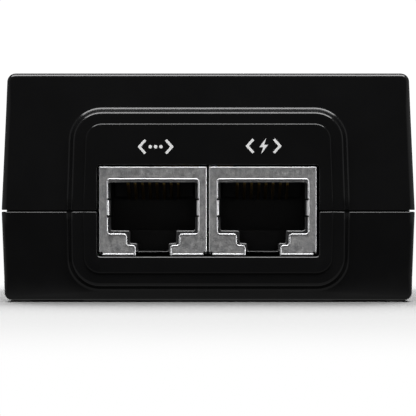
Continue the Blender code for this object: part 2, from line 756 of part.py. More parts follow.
def make_transformer(parent):
    x, y = TRANSFORMER
    half_x, half_y = CORE_HALF
    core = box("transformer_core", (x - half_x, x + half_x), (y - half_y, y + half_y), (SEAT, CORE_TOP))
    through = (y - half_y - 1.0, y + half_y + 1.0)
    outer = half_x - CORE_SIDE_LEG
    cut(core, box("core_window_left", (x - outer, x - CORE_LEG), through, WINDOW))
    cut(core, box("core_window_right", (x + CORE_LEG, x + outer), through, WINDOW))
    as_part(core, "ferrite", parent)

    low = WINDOW[0] + GAP
    high = WINDOW[1] - GAP
    flange_x = outer - GAP
    bore = CORE_LEG + GAP
    tube = bore + BOBBIN_TUBE
    bobbin = box("transformer_bobbin", (x - tube, x + tube), (y - tube, y + tube), (low, high))
    for name, z in (("lower", (low, low + BOBBIN_FLANGE)), ("upper", (high - BOBBIN_FLANGE, high))):
        flange = box(
            f"bobbin_flange_{name}",
            (x - flange_x, x + flange_x),
            (y - BOBBIN_DEPTH, y + BOBBIN_DEPTH),
            z,
            0.8,
            2,
        )
        join(bobbin, flange)
    cut(bobbin, box("bobbin_bore", (x - bore, x + bore), (y - bore, y + bore), (low - 1.0, high + 1.0)))
    as_part(bobbin, "bobbin_plastic", parent)

    wide = flange_x - 0.5
    deep = BOBBIN_DEPTH - 0.5
    z = (low + BOBBIN_FLANGE + GAP, high - BOBBIN_FLANGE - GAP)
    winding = box("transformer_winding", (x - wide, x + wide), (y - deep, y + deep), z, 2.5, 2, 3)
    hole = tube + GAP
    cut(winding, box("winding_bore", (x - hole, x + hole), (y - hole, y + hole), (z[0] - 1.0, z[1] + 1.0)))
    as_part(winding, "transformer_tape", parent)


def make_choke(parent):
    x, y, z = CHOKE_CENTRE
    sides = 8
    turn = 2 * math.pi / sides
    profile = [
        (
            CHOKE_RING_RADIUS + CHOKE_CORE_RADIUS * math.sin(i * turn),
            CHOKE_CORE_RADIUS * math.cos(i * turn),
        )
        for i in range(sides)
    ]
    as_part(turned("line_choke_core", profile, (x, y, z), 24, is_ring=True), "ferrite", parent)
    coil_radius = CHOKE_CORE_RADIUS + GAP + CHOKE_WIRE_RADIUS
    steps = CHOKE_TURNS * 8
    for number, start in ((1, math.pi - CHOKE_ARC / 2), (2, -CHOKE_ARC / 2)):
        points = []
        for i in range(steps + 1):
            along = start + CHOKE_ARC * i / steps
            around = 2 * math.pi * CHOKE_TURNS * i / steps - math.pi / 2
            reach = CHOKE_RING_RADIUS + coil_radius * math.cos(around)
            rise = coil_radius * math.sin(around)
            points.append((x + reach * math.cos(along), y + reach * math.sin(along), z + rise))
        as_part(wire(f"line_choke_winding_{number}", points, CHOKE_WIRE_RADIUS), "winding", parent)


def make_heatsink(parent):
    """A U-shaped extrusion with the power switch clamped inside it."""
    left, right = HEATSINK_X
    front, rear = HEATSINK_Y
    sheet = HEATSINK_SHEET
    outline = (
        (left, front),
        (right, front),
        (right, front + sheet),
        (left + sheet, front + sheet),
        (left + sheet, rear - sheet),
        (right, rear - sheet),
        (right, rear),
        (left, rear),
    )
    height = HEATSINK_TOP - SEAT
    sink = outline_prism("primary_heatsink", outline, height, (0.0, 0.0, SEAT + height / 2))
    as_part(sink, "heatsink", parent)
    plate = left + sheet + GAP
    thickness, tab_top = SWITCH_TAB
    near, far, body_top = SWITCH_BODY
    tab_height = (SWITCH_BOTTOM, tab_top)
    body_height = (SWITCH_BOTTOM, body_top)
    switch = box("primary_switch", (plate, plate + thickness), SWITCH_Y, tab_height)
    join(switch, box("switch_body", (plate + near, plate + far), SWITCH_Y, body_height, 0.4, 2, 1))
    as_part(switch, "component_black", parent)


def make_fuse(parent):
    """A glass fuse lying across the board, with a metal cap at each end."""
    cap_radius, cap_length = FUSE_CAP
    end = FUSE_HALF_LENGTH
    neck = end - cap_length
    profile = (
        (0.0, end),
        (cap_radius, end),
        (cap_radius, neck),
        (FUSE_GLASS_RADIUS, neck - 0.1),
        (FUSE_GLASS_RADIUS, 0.1 - neck),
        (cap_radius, -neck),
        (cap_radius, -end),
        (0.0, -end),
    )
    fuse = turned("fuse", profile, FUSE_CENTRE, 16)
    fuse.rotation_euler.y = math.pi / 2
    return as_part(fuse, "fuse_body", parent)


def make_led(parent):
    rim_radius, rim_top = LED_RIM
    profile = (
        (0.0, LED_TOP),
        (LED_RADIUS * 0.5, LED_TOP - 0.2),
        (LED_RADIUS * 0.87, LED_TOP - 0.75),
        (LED_RADIUS, LED_TOP - 1.5),
        (LED_RADIUS, rim_top),
        (rim_radius, rim_top),
        (rim_radius, SEAT),
        (0.0, SEAT),
    )
    return as_part(turned("power_led", profile, (0.0, LED_Y, 0.0), 16), "led_lens", parent)


def make_blocks(parent):
    for name, x, y, top, radius, material in BLOCKS:
        as_part(box(name, x, y, (SEAT, top), radius, None, 2), material, parent)


def main():
    root = add_empty("poe_injector_origin", (0.0, 0.0, 0.0))
    make_bottom_shell(root)
    make_top_shell(root)
    make_screws(root)
    make_feet(root)
    make_label(root)
    make_light_pipe(root)
    make_jacks(root)
    make_inlet(root)
    make_leads(root)
    board = add_empty("board_assembly", (0.0, 0.0, 0.0), root)
    make_board(board)
    for capacitor in CAPACITORS:
        make_capacitor(*capacitor, board)
    make_transformer(board)
    make_choke(board)
    make_heatsink(board)
    make_fuse(board)
    make_led(board)
    make_blocks(board)
    bpy.context.view_layer.update()


main()
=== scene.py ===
"""Looks of the PoE injector: shells, jacks, inlet and small parts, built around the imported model.

Shapes are drawn in millimetres in the frame's own axes (-Y front, +Z up) and turned into metres when each
piece is made. Places come from the boxes of the CAD nodes.
"""
import math

import bmesh
import bpy
from mathutils import Matrix, Vector


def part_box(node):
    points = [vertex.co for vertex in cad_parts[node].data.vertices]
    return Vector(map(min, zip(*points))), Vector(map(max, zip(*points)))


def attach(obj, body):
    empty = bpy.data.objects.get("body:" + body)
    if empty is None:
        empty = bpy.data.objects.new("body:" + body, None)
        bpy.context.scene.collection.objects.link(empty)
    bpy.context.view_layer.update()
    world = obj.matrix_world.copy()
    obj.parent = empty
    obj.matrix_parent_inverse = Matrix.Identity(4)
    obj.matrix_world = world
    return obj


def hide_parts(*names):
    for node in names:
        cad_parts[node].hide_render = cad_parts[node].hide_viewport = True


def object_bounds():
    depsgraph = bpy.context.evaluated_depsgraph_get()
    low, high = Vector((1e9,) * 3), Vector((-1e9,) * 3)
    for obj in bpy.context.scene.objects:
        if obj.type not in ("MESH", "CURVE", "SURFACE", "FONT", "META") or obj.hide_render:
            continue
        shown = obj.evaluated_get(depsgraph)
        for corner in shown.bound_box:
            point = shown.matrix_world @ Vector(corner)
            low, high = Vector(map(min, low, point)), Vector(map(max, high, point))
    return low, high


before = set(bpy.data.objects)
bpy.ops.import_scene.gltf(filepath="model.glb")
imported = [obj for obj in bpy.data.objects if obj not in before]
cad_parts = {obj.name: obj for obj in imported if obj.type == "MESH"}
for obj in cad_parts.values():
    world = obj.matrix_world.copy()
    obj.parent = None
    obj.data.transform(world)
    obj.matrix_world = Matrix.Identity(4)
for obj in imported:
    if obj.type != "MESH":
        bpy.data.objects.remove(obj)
cad_low, cad_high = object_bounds()

MM = 0.001


def node_box(name):
    """Lowest and highest corner of a CAD node in millimetres."""
    low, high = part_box(name)
    return Vector(low) / MM, Vector(high) / MM


TOP_LOW, TOP_HIGH = node_box("top_shell")

# Case. The half width is the widest line, where the two shells meet.
HALF_WIDTH = TOP_HIGH.x
CASE_TOP = TOP_HIGH.z
CASE_BOTTOM = node_box("bottom_shell")[0].z
UPPER_SEAM = 13.0
LOWER_SEAM = 12.76
PANEL_FRONT = TOP_LOW.y
CASE_FRONT = PANEL_FRONT + 1.5
CASE_REAR = TOP_HIGH.y
WALL = 2.0
SIDE_EDGE = 1.0
UPPER_LIP = 0.1
LOWER_LIP = 0.16
TIGHT_LIP = 0.06
STEP_SLOPE = 0.16
STEP_EDGE = 0.44
PANEL_EDGE = 0.08
PORT_HALF = 15.6
PORT_LOW = 6.48
PORT_HIGH = 19.35
INLET_HALF = 14.3
INLET_LOW = 5.2
INLET_HIGH = 26.6
PANEL_STEP = 0.25
PORT_EDGE = 0.28
INLET_EDGE = 0.3
CAVITY_CORNER = 0.4
SCREW_BORE = (2.9, 1.95)
FOOT_SEAT = (4.15, 0.7)
PIPE_HOLE = 1.5

ARC_STEPS = 10
SIDE_STEPS = 5
TOP_STEPS = 8
FILLET_STEPS = 7


class Half:
    """What differs between the two shells.

    Outlines are (half width at the seam, half width at the end, z of the end, corner radius).
    """

    def __init__(self, seam, end, case_half, case_radius, end_edge, wall, panel, port_z, inlet_z, draft_y):
        self.seam = seam
        self.end = end
        self.case = (HALF_WIDTH, case_half, end, case_radius)
        self.end_edge = end_edge
        self.wall = wall
        self.panel = panel
        self.port = (PORT_HALF, PORT_HALF, port_z, 0.45)
        self.inlet = (INLET_HALF, INLET_HALF, inlet_z, 0.5)
        self.draft_y = draft_y

    def lean(self, z):
        """How far the front and rear planes have leant inwards at this height."""
        return self.draft_y * (z - self.seam) / (self.end - self.seam)


UPPER = Half(
    UPPER_SEAM, CASE_TOP, HALF_WIDTH - 0.83, 1.2, 0.62,
    (19.55, 19.1, 27.02, 4.2), (17.55, 17.1, 25.09, 2.2), PORT_HIGH, INLET_HIGH, 0.5,
)
LOWER = Half(
    LOWER_SEAM, CASE_BOTTOM, HALF_WIDTH - 0.46, 1.0, 0.5,
    (19.55, 19.4, 2.1, 4.2), (17.55, 17.35, 4.19, 2.2), PORT_LOW, INLET_LOW, 0.3,
)


# Materials. Each is procedural, in the object's own coordinates, which are metres.


class Shader:
    """A node material built round one Principled shader."""

    def __init__(self, name, **values):
        self.material = bpy.data.materials.new(name)
        self.material.use_nodes = True
        self.tree = self.material.node_tree
        self.main = self.tree.nodes["Principled BSDF"]
        self.coordinates = self.tree.nodes.new("ShaderNodeTexCoord").outputs["Object"]
        for key, value in values.items():
            self.main.inputs[key.replace("_", " ")].default_value = value

    def node(self, kind, **settings):
        made = self.tree.nodes.new(kind)
        for key, value in settings.items():
            setattr(made, key, value)
        return made

    def link(self, source, target):
        self.tree.links.new(source, target)

    def noise(self, feature, detail=3.0, roughness=0.55, stretch=(1.0, 1.0, 1.0)):
        """Noise whose features are about this many millimetres across."""
        mapping = self.node("ShaderNodeMapping")
        mapping.inputs["Scale"].default_value = stretch
        self.link(self.coordinates, mapping.inputs["Vector"])
        texture = self.node("ShaderNodeTexNoise")
        texture.inputs["Scale"].default_value = 1.0 / (feature * MM)
        texture.inputs["Detail"].default_value = detail
        texture.inputs["Roughness"].default_value = roughness
        self.link(mapping.outputs["Vector"], texture.inputs["Vector"])
        return texture.outputs["Fac"]

    def spread(self, source, low, high, start=0.3, end=0.7):
        """The source, from start to end, as a value from low to high."""
        spread = self.node("ShaderNodeMapRange")
        spread.inputs["From Min"].default_value = start
        spread.inputs["From Max"].default_value = end
        spread.inputs["To Min"].default_value = low
        spread.inputs["To Max"].default_value = high
        self.link(source, spread.inputs["Value"])
        return spread.outputs["Result"]

    def blend(self, source, first, second, start=0.3, end=0.7):
        """Base colour that runs from the first colour to the second with the source."""
        ramp = self.node("ShaderNodeValToRGB")
        ramp.color_ramp.elements[0].position = start
        ramp.color_ramp.elements[0].color = (*first, 1.0)
        ramp.color_ramp.elements[1].position = end
        ramp.color_ramp.elements[1].color = (*second, 1.0)
        self.link(source, ramp.inputs["Fac"])
        self.link(ramp.outputs["Color"], self.main.inputs["Base Color"])

    def rough(self, source, low, high):
        """Roughness that runs from low to high with the source."""
        self.link(self.spread(source, low, high), self.main.inputs["Roughness"])

    def bump(self, source, height, strength=1.0):
        """Surface relief of this many millimetres."""
        bump = self.node("ShaderNodeBump")
        bump.inputs["Strength"].default_value = strength
        bump.inputs["Distance"].default_value = height * MM
        self.link(source, bump.inputs["Height"])
        self.link(bump.outputs["Normal"], self.main.inputs["Normal"])


def shade(colour, factor):
    return tuple(min(channel * factor, 1.0) for channel in colour)


def plain_finish(name, colour, roughness, metallic=0.0, grain=0.4, relief=0.004, vary=0.12, **values):
    """A finish with a fine grain in its colour, roughness and surface."""
    shader = Shader(name, Metallic=metallic, **values)
    grain_noise = shader.noise(grain, 4.0)
    cloud_noise = shader.noise(grain * 12, 2.0)
    shader.blend(cloud_noise, shade(colour, 1 - vary), shade(colour, 1 + vary))
    shader.rough(cloud_noise, roughness - 0.04, roughness + 0.04)
    shader.bump(grain_noise, relief, 0.5)
    return shader.material


def case_plastic():
    """Satin black ABS with a fine spark-eroded texture and faint handling marks."""
    shader = Shader("case_plastic")
    cloud = shader.noise(9.0, 3.0)
    shader.blend(cloud, (0.0034, 0.0034, 0.0036), (0.0046, 0.0046, 0.0048))
    shader.rough(shader.noise(2.5, 5.0), 0.15, 0.20)
    shader.bump(shader.noise(0.14, 2.0), 0.0025, 0.3)
    return shader.material


def shield_metal():
    """Tin-plated pressed sheet: blotchy plating, rolling marks and small pits."""
    shader = Shader("shield_metal", Metallic=1.0)
    blotch = shader.noise(1.1, 8.0, 0.92)
    shader.blend(blotch, (0.36, 0.365, 0.38), (0.74, 0.73, 0.72), 0.36, 0.64)
    shader.rough(shader.noise(0.5, 6.0, 0.75), 0.36, 0.56)
    shader.bump(shader.noise(0.25, 5.0, 0.7), 0.014, 0.6)
    return shader.material


def lens_material():
    """Clear moulded rod with a frosted end."""
    shader = Shader("light_pipe", IOR=1.49)
    shader.main.inputs["Transmission Weight"].default_value = 0.85
    shader.blend(shader.noise(0.8), (0.72, 0.78, 0.74), (0.80, 0.85, 0.82))
    shader.rough(shader.noise(0.3), 0.22, 0.34)
    shader.bump(shader.noise(0.2), 0.006, 0.5)
    return shader.material


def lead_material():
    """Green and yellow earth insulation: a yellow band wound along the wire."""
    shader = Shader("insulation_green")
    wave = shader.node("ShaderNodeTexWave", wave_type="BANDS", bands_direction="DIAGONAL")
    wave.inputs["Scale"].default_value = 90.0
    wave.inputs["Distortion"].default_value = 0.4
    shader.link(shader.coordinates, wave.inputs["Vector"])
    shader.blend(wave.outputs["Fac"], (0.02, 0.20, 0.03), (0.62, 0.50, 0.02), 0.55, 0.6)
    shader.rough(shader.noise(0.6), 0.35, 0.45)
    return shader.material


def board_material():
    """Green solder mask with copper traces that show through it."""
    shader = Shader("board")
    traces = shader.node("ShaderNodeTexBrick", offset=0.35, squash=1.0)
    traces.inputs["Scale"].default_value = 260.0
    traces.inputs["Mortar Size"].default_value = 0.035
    traces.inputs["Color1"].default_value = (0.018, 0.105, 0.035, 1.0)
    traces.inputs["Color2"].default_value = (0.022, 0.120, 0.040, 1.0)
    traces.inputs["Mortar"].default_value = (0.050, 0.200, 0.060, 1.0)
    shader.link(shader.coordinates, traces.inputs["Vector"])
    shader.link(traces.outputs["Color"], shader.main.inputs["Base Color"])
    shader.rough(shader.noise(1.5), 0.30, 0.42)
    shader.bump(traces.outputs["Fac"], 0.02, 0.4)
    return shader.material


def winding_material():
    """Yellow polyester tape with the turns of wire showing as ridges under it."""
    shader = Shader("transformer_tape")
    wave = shader.node("ShaderNodeTexWave", wave_type="BANDS", bands_direction="Z")
    wave.inputs["Scale"].default_value = 420.0
    wave.inputs["Distortion"].default_value = 0.6
    shader.link(shader.coordinates, wave.inputs["Vector"])
    shader.blend(shader.noise(3.0), (0.62, 0.44, 0.04), (0.74, 0.56, 0.07))
    shader.rough(shader.noise(1.0), 0.28, 0.40)
    shader.bump(wave.outputs["Fac"], 0.05, 0.4)
    return shader.material


MATERIALS = {
    "case_plastic": case_plastic(),
    "shield_metal": shield_metal(),
    # Painted highlight: the shields' rounded edges get a copy of the metal, its colour set to fix how bright
    # their highlights read.
    "shield_edge_painted_highlight": plain_finish("shield_edge_painted_highlight", (0.50, 0.50, 0.51), 0.50, 1.0, 0.3, 0.006, 0.05),
    "jack_plastic": plain_finish(
        "jack_plastic", (0.010, 0.010, 0.011), 0.42, grain=0.2, relief=0.006, Specular_IOR_Level=1.0
    ),
    # Painted shade: the gold is darkened below its own colour so the contacts read dark in the jack's shaded
    # cavity.
    "contact_gold": plain_finish("contact_gold", (0.42, 0.28, 0.09), 0.40, 1.0, 0.1, 0.002, 0.06),
    "inlet_plastic": plain_finish("inlet_plastic", (0.009, 0.009, 0.009), 0.40, grain=0.3, relief=0.005),
    "inlet_pin": plain_finish("inlet_pin", (0.64, 0.63, 0.60), 0.26, 1.0, 0.25, 0.003, 0.08),
    "foot_rubber": plain_finish("foot_rubber", (0.014, 0.014, 0.014), 0.82, grain=0.25, relief=0.03),
    "screw_steel": plain_finish("screw_steel", (0.50, 0.50, 0.52), 0.32, 1.0, 0.25, 0.006, 0.1),
    "label": plain_finish("label", (0.55, 0.55, 0.54), 0.55, grain=0.3, relief=0.004, vary=0.04),
    "light_pipe": lens_material(),
    "led_lens": plain_finish("led_lens", (0.10, 0.42, 0.13), 0.2, grain=0.5),
    "insulation_brown": plain_finish("insulation_brown", (0.10, 0.035, 0.014), 0.42),
    "insulation_blue": plain_finish("insulation_blue", (0.02, 0.09, 0.32), 0.42),
    "insulation_green": lead_material(),
    "board": board_material(),
    "component_black": plain_finish("component_black", (0.013, 0.013, 0.014), 0.48, grain=0.25, relief=0.01),
    "capacitor_sleeve": plain_finish("capacitor_sleeve", (0.02, 0.026, 0.055), 0.28, grain=0.8, relief=0.008),
    "ferrite": plain_finish("ferrite", (0.05, 0.05, 0.055), 0.68, grain=0.15, relief=0.02, vary=0.25),
    "winding": plain_finish("winding", (0.62, 0.24, 0.09), 0.3, 1.0, 0.2, 0.004, 0.15),
    "transformer_tape": winding_material(),
    "bobbin_plastic": plain_finish("bobbin_plastic", (0.03, 0.03, 0.03), 0.5),
    "heatsink": plain_finish("heatsink", (0.60, 0.61, 0.63), 0.36, 1.0, 0.3, 0.01, 0.1),
    "x_capacitor_case": plain_finish("x_capacitor_case", (0.56, 0.42, 0.05), 0.38),
    "fuse_body": plain_finish("fuse_body", (0.70, 0.66, 0.58), 0.38, vary=0.06),
    "print_white": plain_finish("print_white", (0.86, 0.86, 0.86), 0.5, grain=0.2, relief=0.003, vary=0.03),
}


# Pieces.

SHARP_ANGLE = 32.0
FLAT_SHARE = 0.985


def make_piece(name, bm, material, replaces=(), body="case", edges=None):
    """A finished piece from a bmesh in millimetres: smooth, with crisp edges where faces meet sharply.

    edges is a second finish for its rounded faces, where that differs: for the shields, a copy of the metal
    whose colour is set to paint the brightness of their edge highlights.
    """
    bmesh.ops.scale(bm, vec=(MM, MM, MM), verts=bm.verts)
    mesh = bpy.data.meshes.new(name)
    bm.to_mesh(mesh)
    bm.free()
    mesh.materials.append(MATERIALS[material])
    if edges:
        mesh.materials.append(MATERIALS[edges])
        for face in mesh.polygons:
            face.material_index = int(max(abs(value) for value in face.normal) < FLAT_SHARE)
    mesh.shade_smooth()
    mesh.set_sharp_from_angle(angle=math.radians(SHARP_ANGLE))
    obj = bpy.data.objects.new(name, mesh)
    bpy.context.scene.collection.objects.link(obj)
    weighted = obj.modifiers.new("weighted_normals", "WEIGHTED_NORMAL")
    weighted.keep_sharp = True
    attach(obj, body)
    if replaces:
        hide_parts(*replaces)
    return obj


def solid(bm):
    """A scratch object from a bmesh, used in Booleans."""
    mesh = bpy.data.meshes.new("scratch")
    bm.to_mesh(mesh)
    bm.free()
    obj = bpy.data.objects.new("scratch", mesh)
    bpy.context.scene.collection.objects.link(obj)
    return obj


def combined(base, others):
    """The bmesh of base after each (operation, bmesh) is applied to it in turn."""
    target = solid(base)
    scratch = [target]
    for operation, other in others:
        tool = solid(other)
        scratch.append(tool)
        modifier = target.modifiers.new("combine", "BOOLEAN")
        modifier.operation = operation
        modifier.object = tool
        modifier.solver = "EXACT"
    bpy.context.view_layer.update()
    result = bpy.data.meshes.new_from_object(target.evaluated_get(bpy.context.evaluated_depsgraph_get()))
    bm = bmesh.new()
    bm.from_mesh(result)
    for obj in scratch:
        bpy.data.objects.remove(obj, do_unlink=True)
    bpy.data.meshes.remove(result)
    bmesh.ops.remove_doubles(bm, verts=bm.verts, dist=0.0005)
    bmesh.ops.delete(bm, geom=[vertex for vertex in bm.verts if not vertex.link_faces], context="VERTS")
    return bm


def box(x, y, z):
    """A plain box over three (low, high) ranges, for cutting."""
    bm = bmesh.new()
    bmesh.ops.create_cube(bm, size=1.0)
    low, high = Vector((x[0], y[0], z[0])), Vector((x[1], y[1], z[1]))
    for vertex in bm.verts:
        vertex.co = (low + high) / 2 + Vector(a * b for a, b in zip(vertex.co, high - low))
    return bm


def cut(*cutters):
    """Steps for combined() that take each cutter away."""
    return [("DIFFERENCE", cutter) for cutter in cutters]


def bridge(bm, first, second, closed=True):
    """Quads between two rows of as many vertices."""
    count = len(first)
    for i in range(count if closed else count - 1):
        j = (i + 1) % count
        bm.faces.new((first[i], first[j], second[j], second[i]))


def outwards(bm):
    """The same bmesh with its normals pointing out."""
    bmesh.ops.recalc_face_normals(bm, faces=bm.faces)
    return bm


def bevel(bm, edges, radius, segments):
    bmesh.ops.bevel(bm, geom=edges, offset=radius, segments=segments, profile=0.5, affect="EDGES")
    return bm


def split_edges(bm):
    """Upright edges and level edges of a box."""
    upright = [e for e in bm.edges if abs(e.verts[0].co.z - e.verts[1].co.z) > 0.05]
    return upright, [e for e in bm.edges if e not in upright]


def rotated(bm, angle, axis):
    bmesh.ops.rotate(bm, cent=(0, 0, 0), matrix=Matrix.Rotation(angle, 3, axis), verts=bm.verts)
    return bm


def moved(bm, x=0.0, y=0.0, z=0.0):
    bmesh.ops.translate(bm, vec=(x, y, z), verts=bm.verts)
    return bm


def turned(profile, x=0.0, y=0.0, steps=48):
    """A closed solid turned about an upright axis, from (radius, z) points that run from axis to axis."""
    bm = bmesh.new()
    rings = []
    for radius, height in profile:
        if radius < 1e-6:
            rings.append([bm.verts.new((0.0, 0.0, height))])
            continue
        angles = [2 * math.pi * i / steps for i in range(steps)]
        rings.append([bm.verts.new((radius * math.cos(a), radius * math.sin(a), height)) for a in angles])
    for first, second in zip(rings, rings[1:]):
        for i in range(steps):
            j = (i + 1) % steps
            corners = [first[i % len(first)], first[j % len(first)]]
            corners += [second[j % len(second)], second[i % len(second)]]
            unique = list(dict.fromkeys(corners))
            if len(unique) > 2:
                bm.faces.new(unique)
    return moved(outwards(bm), x, y)


def merged(parts):
    """Several separate bodies in one bmesh."""
    whole = bmesh.new()
    for part in parts:
        mesh = bpy.data.meshes.new("scratch")
        part.to_mesh(mesh)
        part.free()
        whole.from_mesh(mesh)
        bpy.data.meshes.remove(mesh)
    return whole


# Outlines in the XZ plane and the stations that carry them along Y.


def fillet(before, corner, after, radius, steps):
    """Points of the arc that rounds a corner. A nearly straight corner gets a short even spread instead."""
    first = (before - corner).normalized()
    second = (after - corner).normalized()
    half = first.angle(second) / 2
    if half > math.radians(85):
        return [corner + second * radius * (2 * i / steps - 1) for i in range(steps + 1)]
    reach = radius / math.tan(half)
    centre = corner + (first + second).normalized() * (radius / math.sin(half))
    start = corner + first * reach - centre
    sweep = start.angle_signed(corner + second * reach - centre)
    return [centre + start @ Matrix.Rotation(sweep * i / steps, 2) for i in range(steps + 1)]


def arch(outline, seam):
    """Up one side of an outline from the seam, over its far edge and down the other side."""
    seam_half, end_half, end, radius = outline
    foot = Vector((-seam_half, seam))
    corner = Vector((-end_half, end))
    middle = Vector((0.0, end))
    arc = fillet(foot, corner, middle, radius, ARC_STEPS)
    side = [foot.lerp(arc[0], i / SIDE_STEPS) for i in range(SIDE_STEPS)]
    top = [arc[-1].lerp(middle, i / TOP_STEPS) for i in range(1, TOP_STEPS + 1)]
    left = side + arc + top
    return left + [Vector((-p.x, p.y)) for p in reversed(left[:-1])]


def normals(points, closed=False):
    """Outward normals along an outline: to the left of its direction of travel. Open ends stay level."""
    count = len(points)
    found = []
    for i in range(count):
        before = points[i - 1] if closed or i else points[0]
        after = points[(i + 1) % count] if closed or i < count - 1 else points[-1]
        along = (after - before).normalized()
        found.append(Vector((-along.y, along.x)))
    if not closed:
        found[0] = Vector((math.copysign(1.0, found[0].x), 0.0))
        found[-1] = Vector((math.copysign(1.0, found[-1].x), 0.0))
    return found


def station(points, depth):
    """The outline at a depth along Y, which is a number or a list with one number for each point."""
    depths = depth if isinstance(depth, list) else [depth] * len(points)
    return [Vector((p.x, y, p.y)) for p, y in zip(points, depths)]


def quarter(steps=FILLET_STEPS):
    return [math.pi / 2 * i / steps for i in range(steps + 1)]


def offset(points, directions, amounts):
    spread = amounts if isinstance(amounts, list) else [amounts] * len(points)
    return [p + d * a for p, d, a in zip(points, directions, spread)]


def face_to_wall(points, directions, face, radius, turn=1):
    """Stations round a convex edge, from a face at a depth to the wall that follows the outline.

    turn is 1 where the wall runs back from the face and -1 where it runs forward.
    """
    radii = radius if isinstance(radius, list) else [radius] * len(points)
    faces = face if isinstance(face, list) else [face] * len(points)
    made = []
    for angle in quarter():
        inset = [-r * (1 - math.sin(angle)) for r in radii]
        depths = [f + turn * r * (1 - math.cos(angle)) for f, r in zip(faces, radii)]
        made.append(station(offset(points, directions, inset), depths))
    return made


def wall_to_face(points, directions, face, radius, turn=1):
    """Stations from a wall out to a face. turn is -1 where they arrive from behind the face."""
    faces = face if isinstance(face, list) else [face] * len(points)
    made = []
    for angle in quarter():
        depths = [f - turn * radius * (1 - math.sin(angle)) for f in faces]
        made.append(station(offset(points, directions, radius * (1 - math.cos(angle))), depths))
    return made


def skin(stations, ring=False, loop=False):
    """Quads over stations of equal count. ring joins the last station to the first; loop closes each one."""
    bm = bmesh.new()
    rows = [[bm.verts.new(point) for point in row] for row in stations]
    for first, second in zip(rows, rows[1:] + rows[:1] if ring else rows[1:]):
        bridge(bm, first, second, loop)
    return bm, rows


# Case shells.


def seam_lips(stations, half, tight):
    """Adds a small rounded lip to both ends of each station, where it meets the other shell.

    It is shallower at the tight stations, which go round corners smaller than the lip.
    """
    toward = 1 if half.end > half.seam else -1
    lip_radius = UPPER_LIP if toward > 0 else LOWER_LIP
    count = len(stations)
    area = 0.0
    for first, second in zip(stations, stations[1:] + stations[:1]):
        area += first[0].x * second[0].y - second[0].x * first[0].y
    out = 1 if area > 0 else -1
    made = []
    for k, row in enumerate(stations):
        ends = []
        depth = min(lip_radius, TIGHT_LIP) if k in tight else lip_radius
        for index, mirror in ((0, 1), (-1, -1)):
            along = stations[(k + 1) % count][index] - stations[k - 1][index]
            outward = Vector((along.y, -along.x, 0.0)).normalized() * out * mirror
            lip = []
            for angle in reversed(quarter(4)):
                drop = depth * (1 - math.cos(angle))
                rise = lip_radius * (1 - math.sin(angle)) * toward
                lip.append(row[index] - outward * drop + Vector((0.0, 0.0, rise)))
            ends.append(lip)
        made.append(ends[0] + row[1:-1] + ends[1][::-1])
    return made


def shell(half):
    """One case shell: a closed skin over its port panel, sides, rear and inner faces."""
    seam_half, end_half, end = half.case[:3]
    inward = -1 if end > half.seam else 1
    inside = (seam_half - WALL, end_half - WALL, end + inward * WALL, CAVITY_CORNER)
    shapes = (half.port, half.panel, half.wall, half.case, half.inlet, inside)
    outlines = [arch(shape, half.seam) for shape in shapes]
    if end < half.seam:
        outlines = [points[::-1] for points in outlines]
    port, panel, wall, case, inlet, cavity = outlines
    port_out, panel_out, wall_out, case_out, inlet_out = [normals(points) for points in outlines[:-1]]
    step_face = PANEL_FRONT + PANEL_STEP
    edges = edge_radii(case, half)

    rows = [station(port, CASE_FRONT + WALL)]
    rows += wall_to_face(port, port_out, PANEL_FRONT, PORT_EDGE, turn=-1)
    step_start = len(rows)
    rows += face_to_wall(panel, panel_out, PANEL_FRONT, PANEL_EDGE)
    rows += wall_to_face(panel, panel_out, step_face, PANEL_EDGE)
    tight = range(step_start, len(rows))
    rows += face_to_wall(offset(wall, wall_out, -STEP_SLOPE), wall_out, step_face, STEP_EDGE)
    rows += wall_to_face(offset(wall, wall_out, STEP_SLOPE), wall_out, front_at(wall, half), STEP_EDGE)
    rows += face_to_wall(case, case_out, front_at(case, half), edges)
    rows += face_to_wall(case, case_out, rear_at(case, half), edges, turn=-1)[::-1]
    rows += wall_to_face(inlet, inlet_out, rear_at(inlet, half), INLET_EDGE)[::-1]
    rows.append(station(inlet, CASE_REAR - WALL))
    rows.append(station(cavity, CASE_REAR - WALL))
    rows.append(station(cavity, CASE_FRONT + WALL))
    rows = seam_lips(rows, half, tight)
    bm, made = skin(rows, ring=True)
    for side in (0, -1):
        bm.faces.new([row[side] for row in made])
    return outwards(bm)


def front_at(points, half):
    return [CASE_FRONT + half.lean(p.y) for p in points]


def rear_at(points, half):
    return [CASE_REAR - half.lean(p.y) for p in points]


def edge_radii(points, half):
    """Radius of the front and rear edges: wider up the sides than along the far edge."""
    radii = []
    for point in points:
        beside = min(abs(point.y - half.end) / 4.0, 1.0)
        radii.append(half.end_edge + (SIDE_EDGE - half.end_edge) * beside * beside * (3 - 2 * beside))
    return radii


def plan_ring(inset, thickness, low, high):
    """A closed wall that follows the case's plan, for the tongue and its groove."""
    bm = bmesh.new()
    loops = []
    for edge in (inset, inset + thickness):
        half = HALF_WIDTH - edge
        front, rear = CASE_FRONT + edge, CASE_REAR - edge
        corners = [Vector(c) for c in ((-half, front), (half, front), (half, rear), (-half, rear))]
        points = []
        for i, corner in enumerate(corners):
            points += fillet(corners[i - 1], corner, corners[(i + 1) % 4], max(1.3 - edge, 0.2), 4)
        loops.append([[bm.verts.new((p.x, p.y, z)) for p in points] for z in (low, high)])
    (outer_low, outer_high), (inner_low, inner_high) = loops
    bridge(bm, outer_low, outer_high)
    bridge(bm, outer_high, inner_high)
    bridge(bm, inner_high, inner_low)
    bridge(bm, inner_low, outer_low)
    return outwards(bm)


def flared_hole(radius, flare, mouth, floor, middle):
    """A cutter for a round hole with a rounded mouth."""
    outside = 1.0 if mouth > floor else -1.0
    profile = [(0.0, mouth + outside), (radius + flare, mouth + outside)]
    for angle in quarter(4):
        height = mouth - outside * flare * (1 - math.cos(angle))
        profile.append((radius + flare * (1 - math.sin(angle)), height))
    profile += [(radius, floor), (0.0, floor)]
    return turned(profile, middle.x, middle.y, 40)


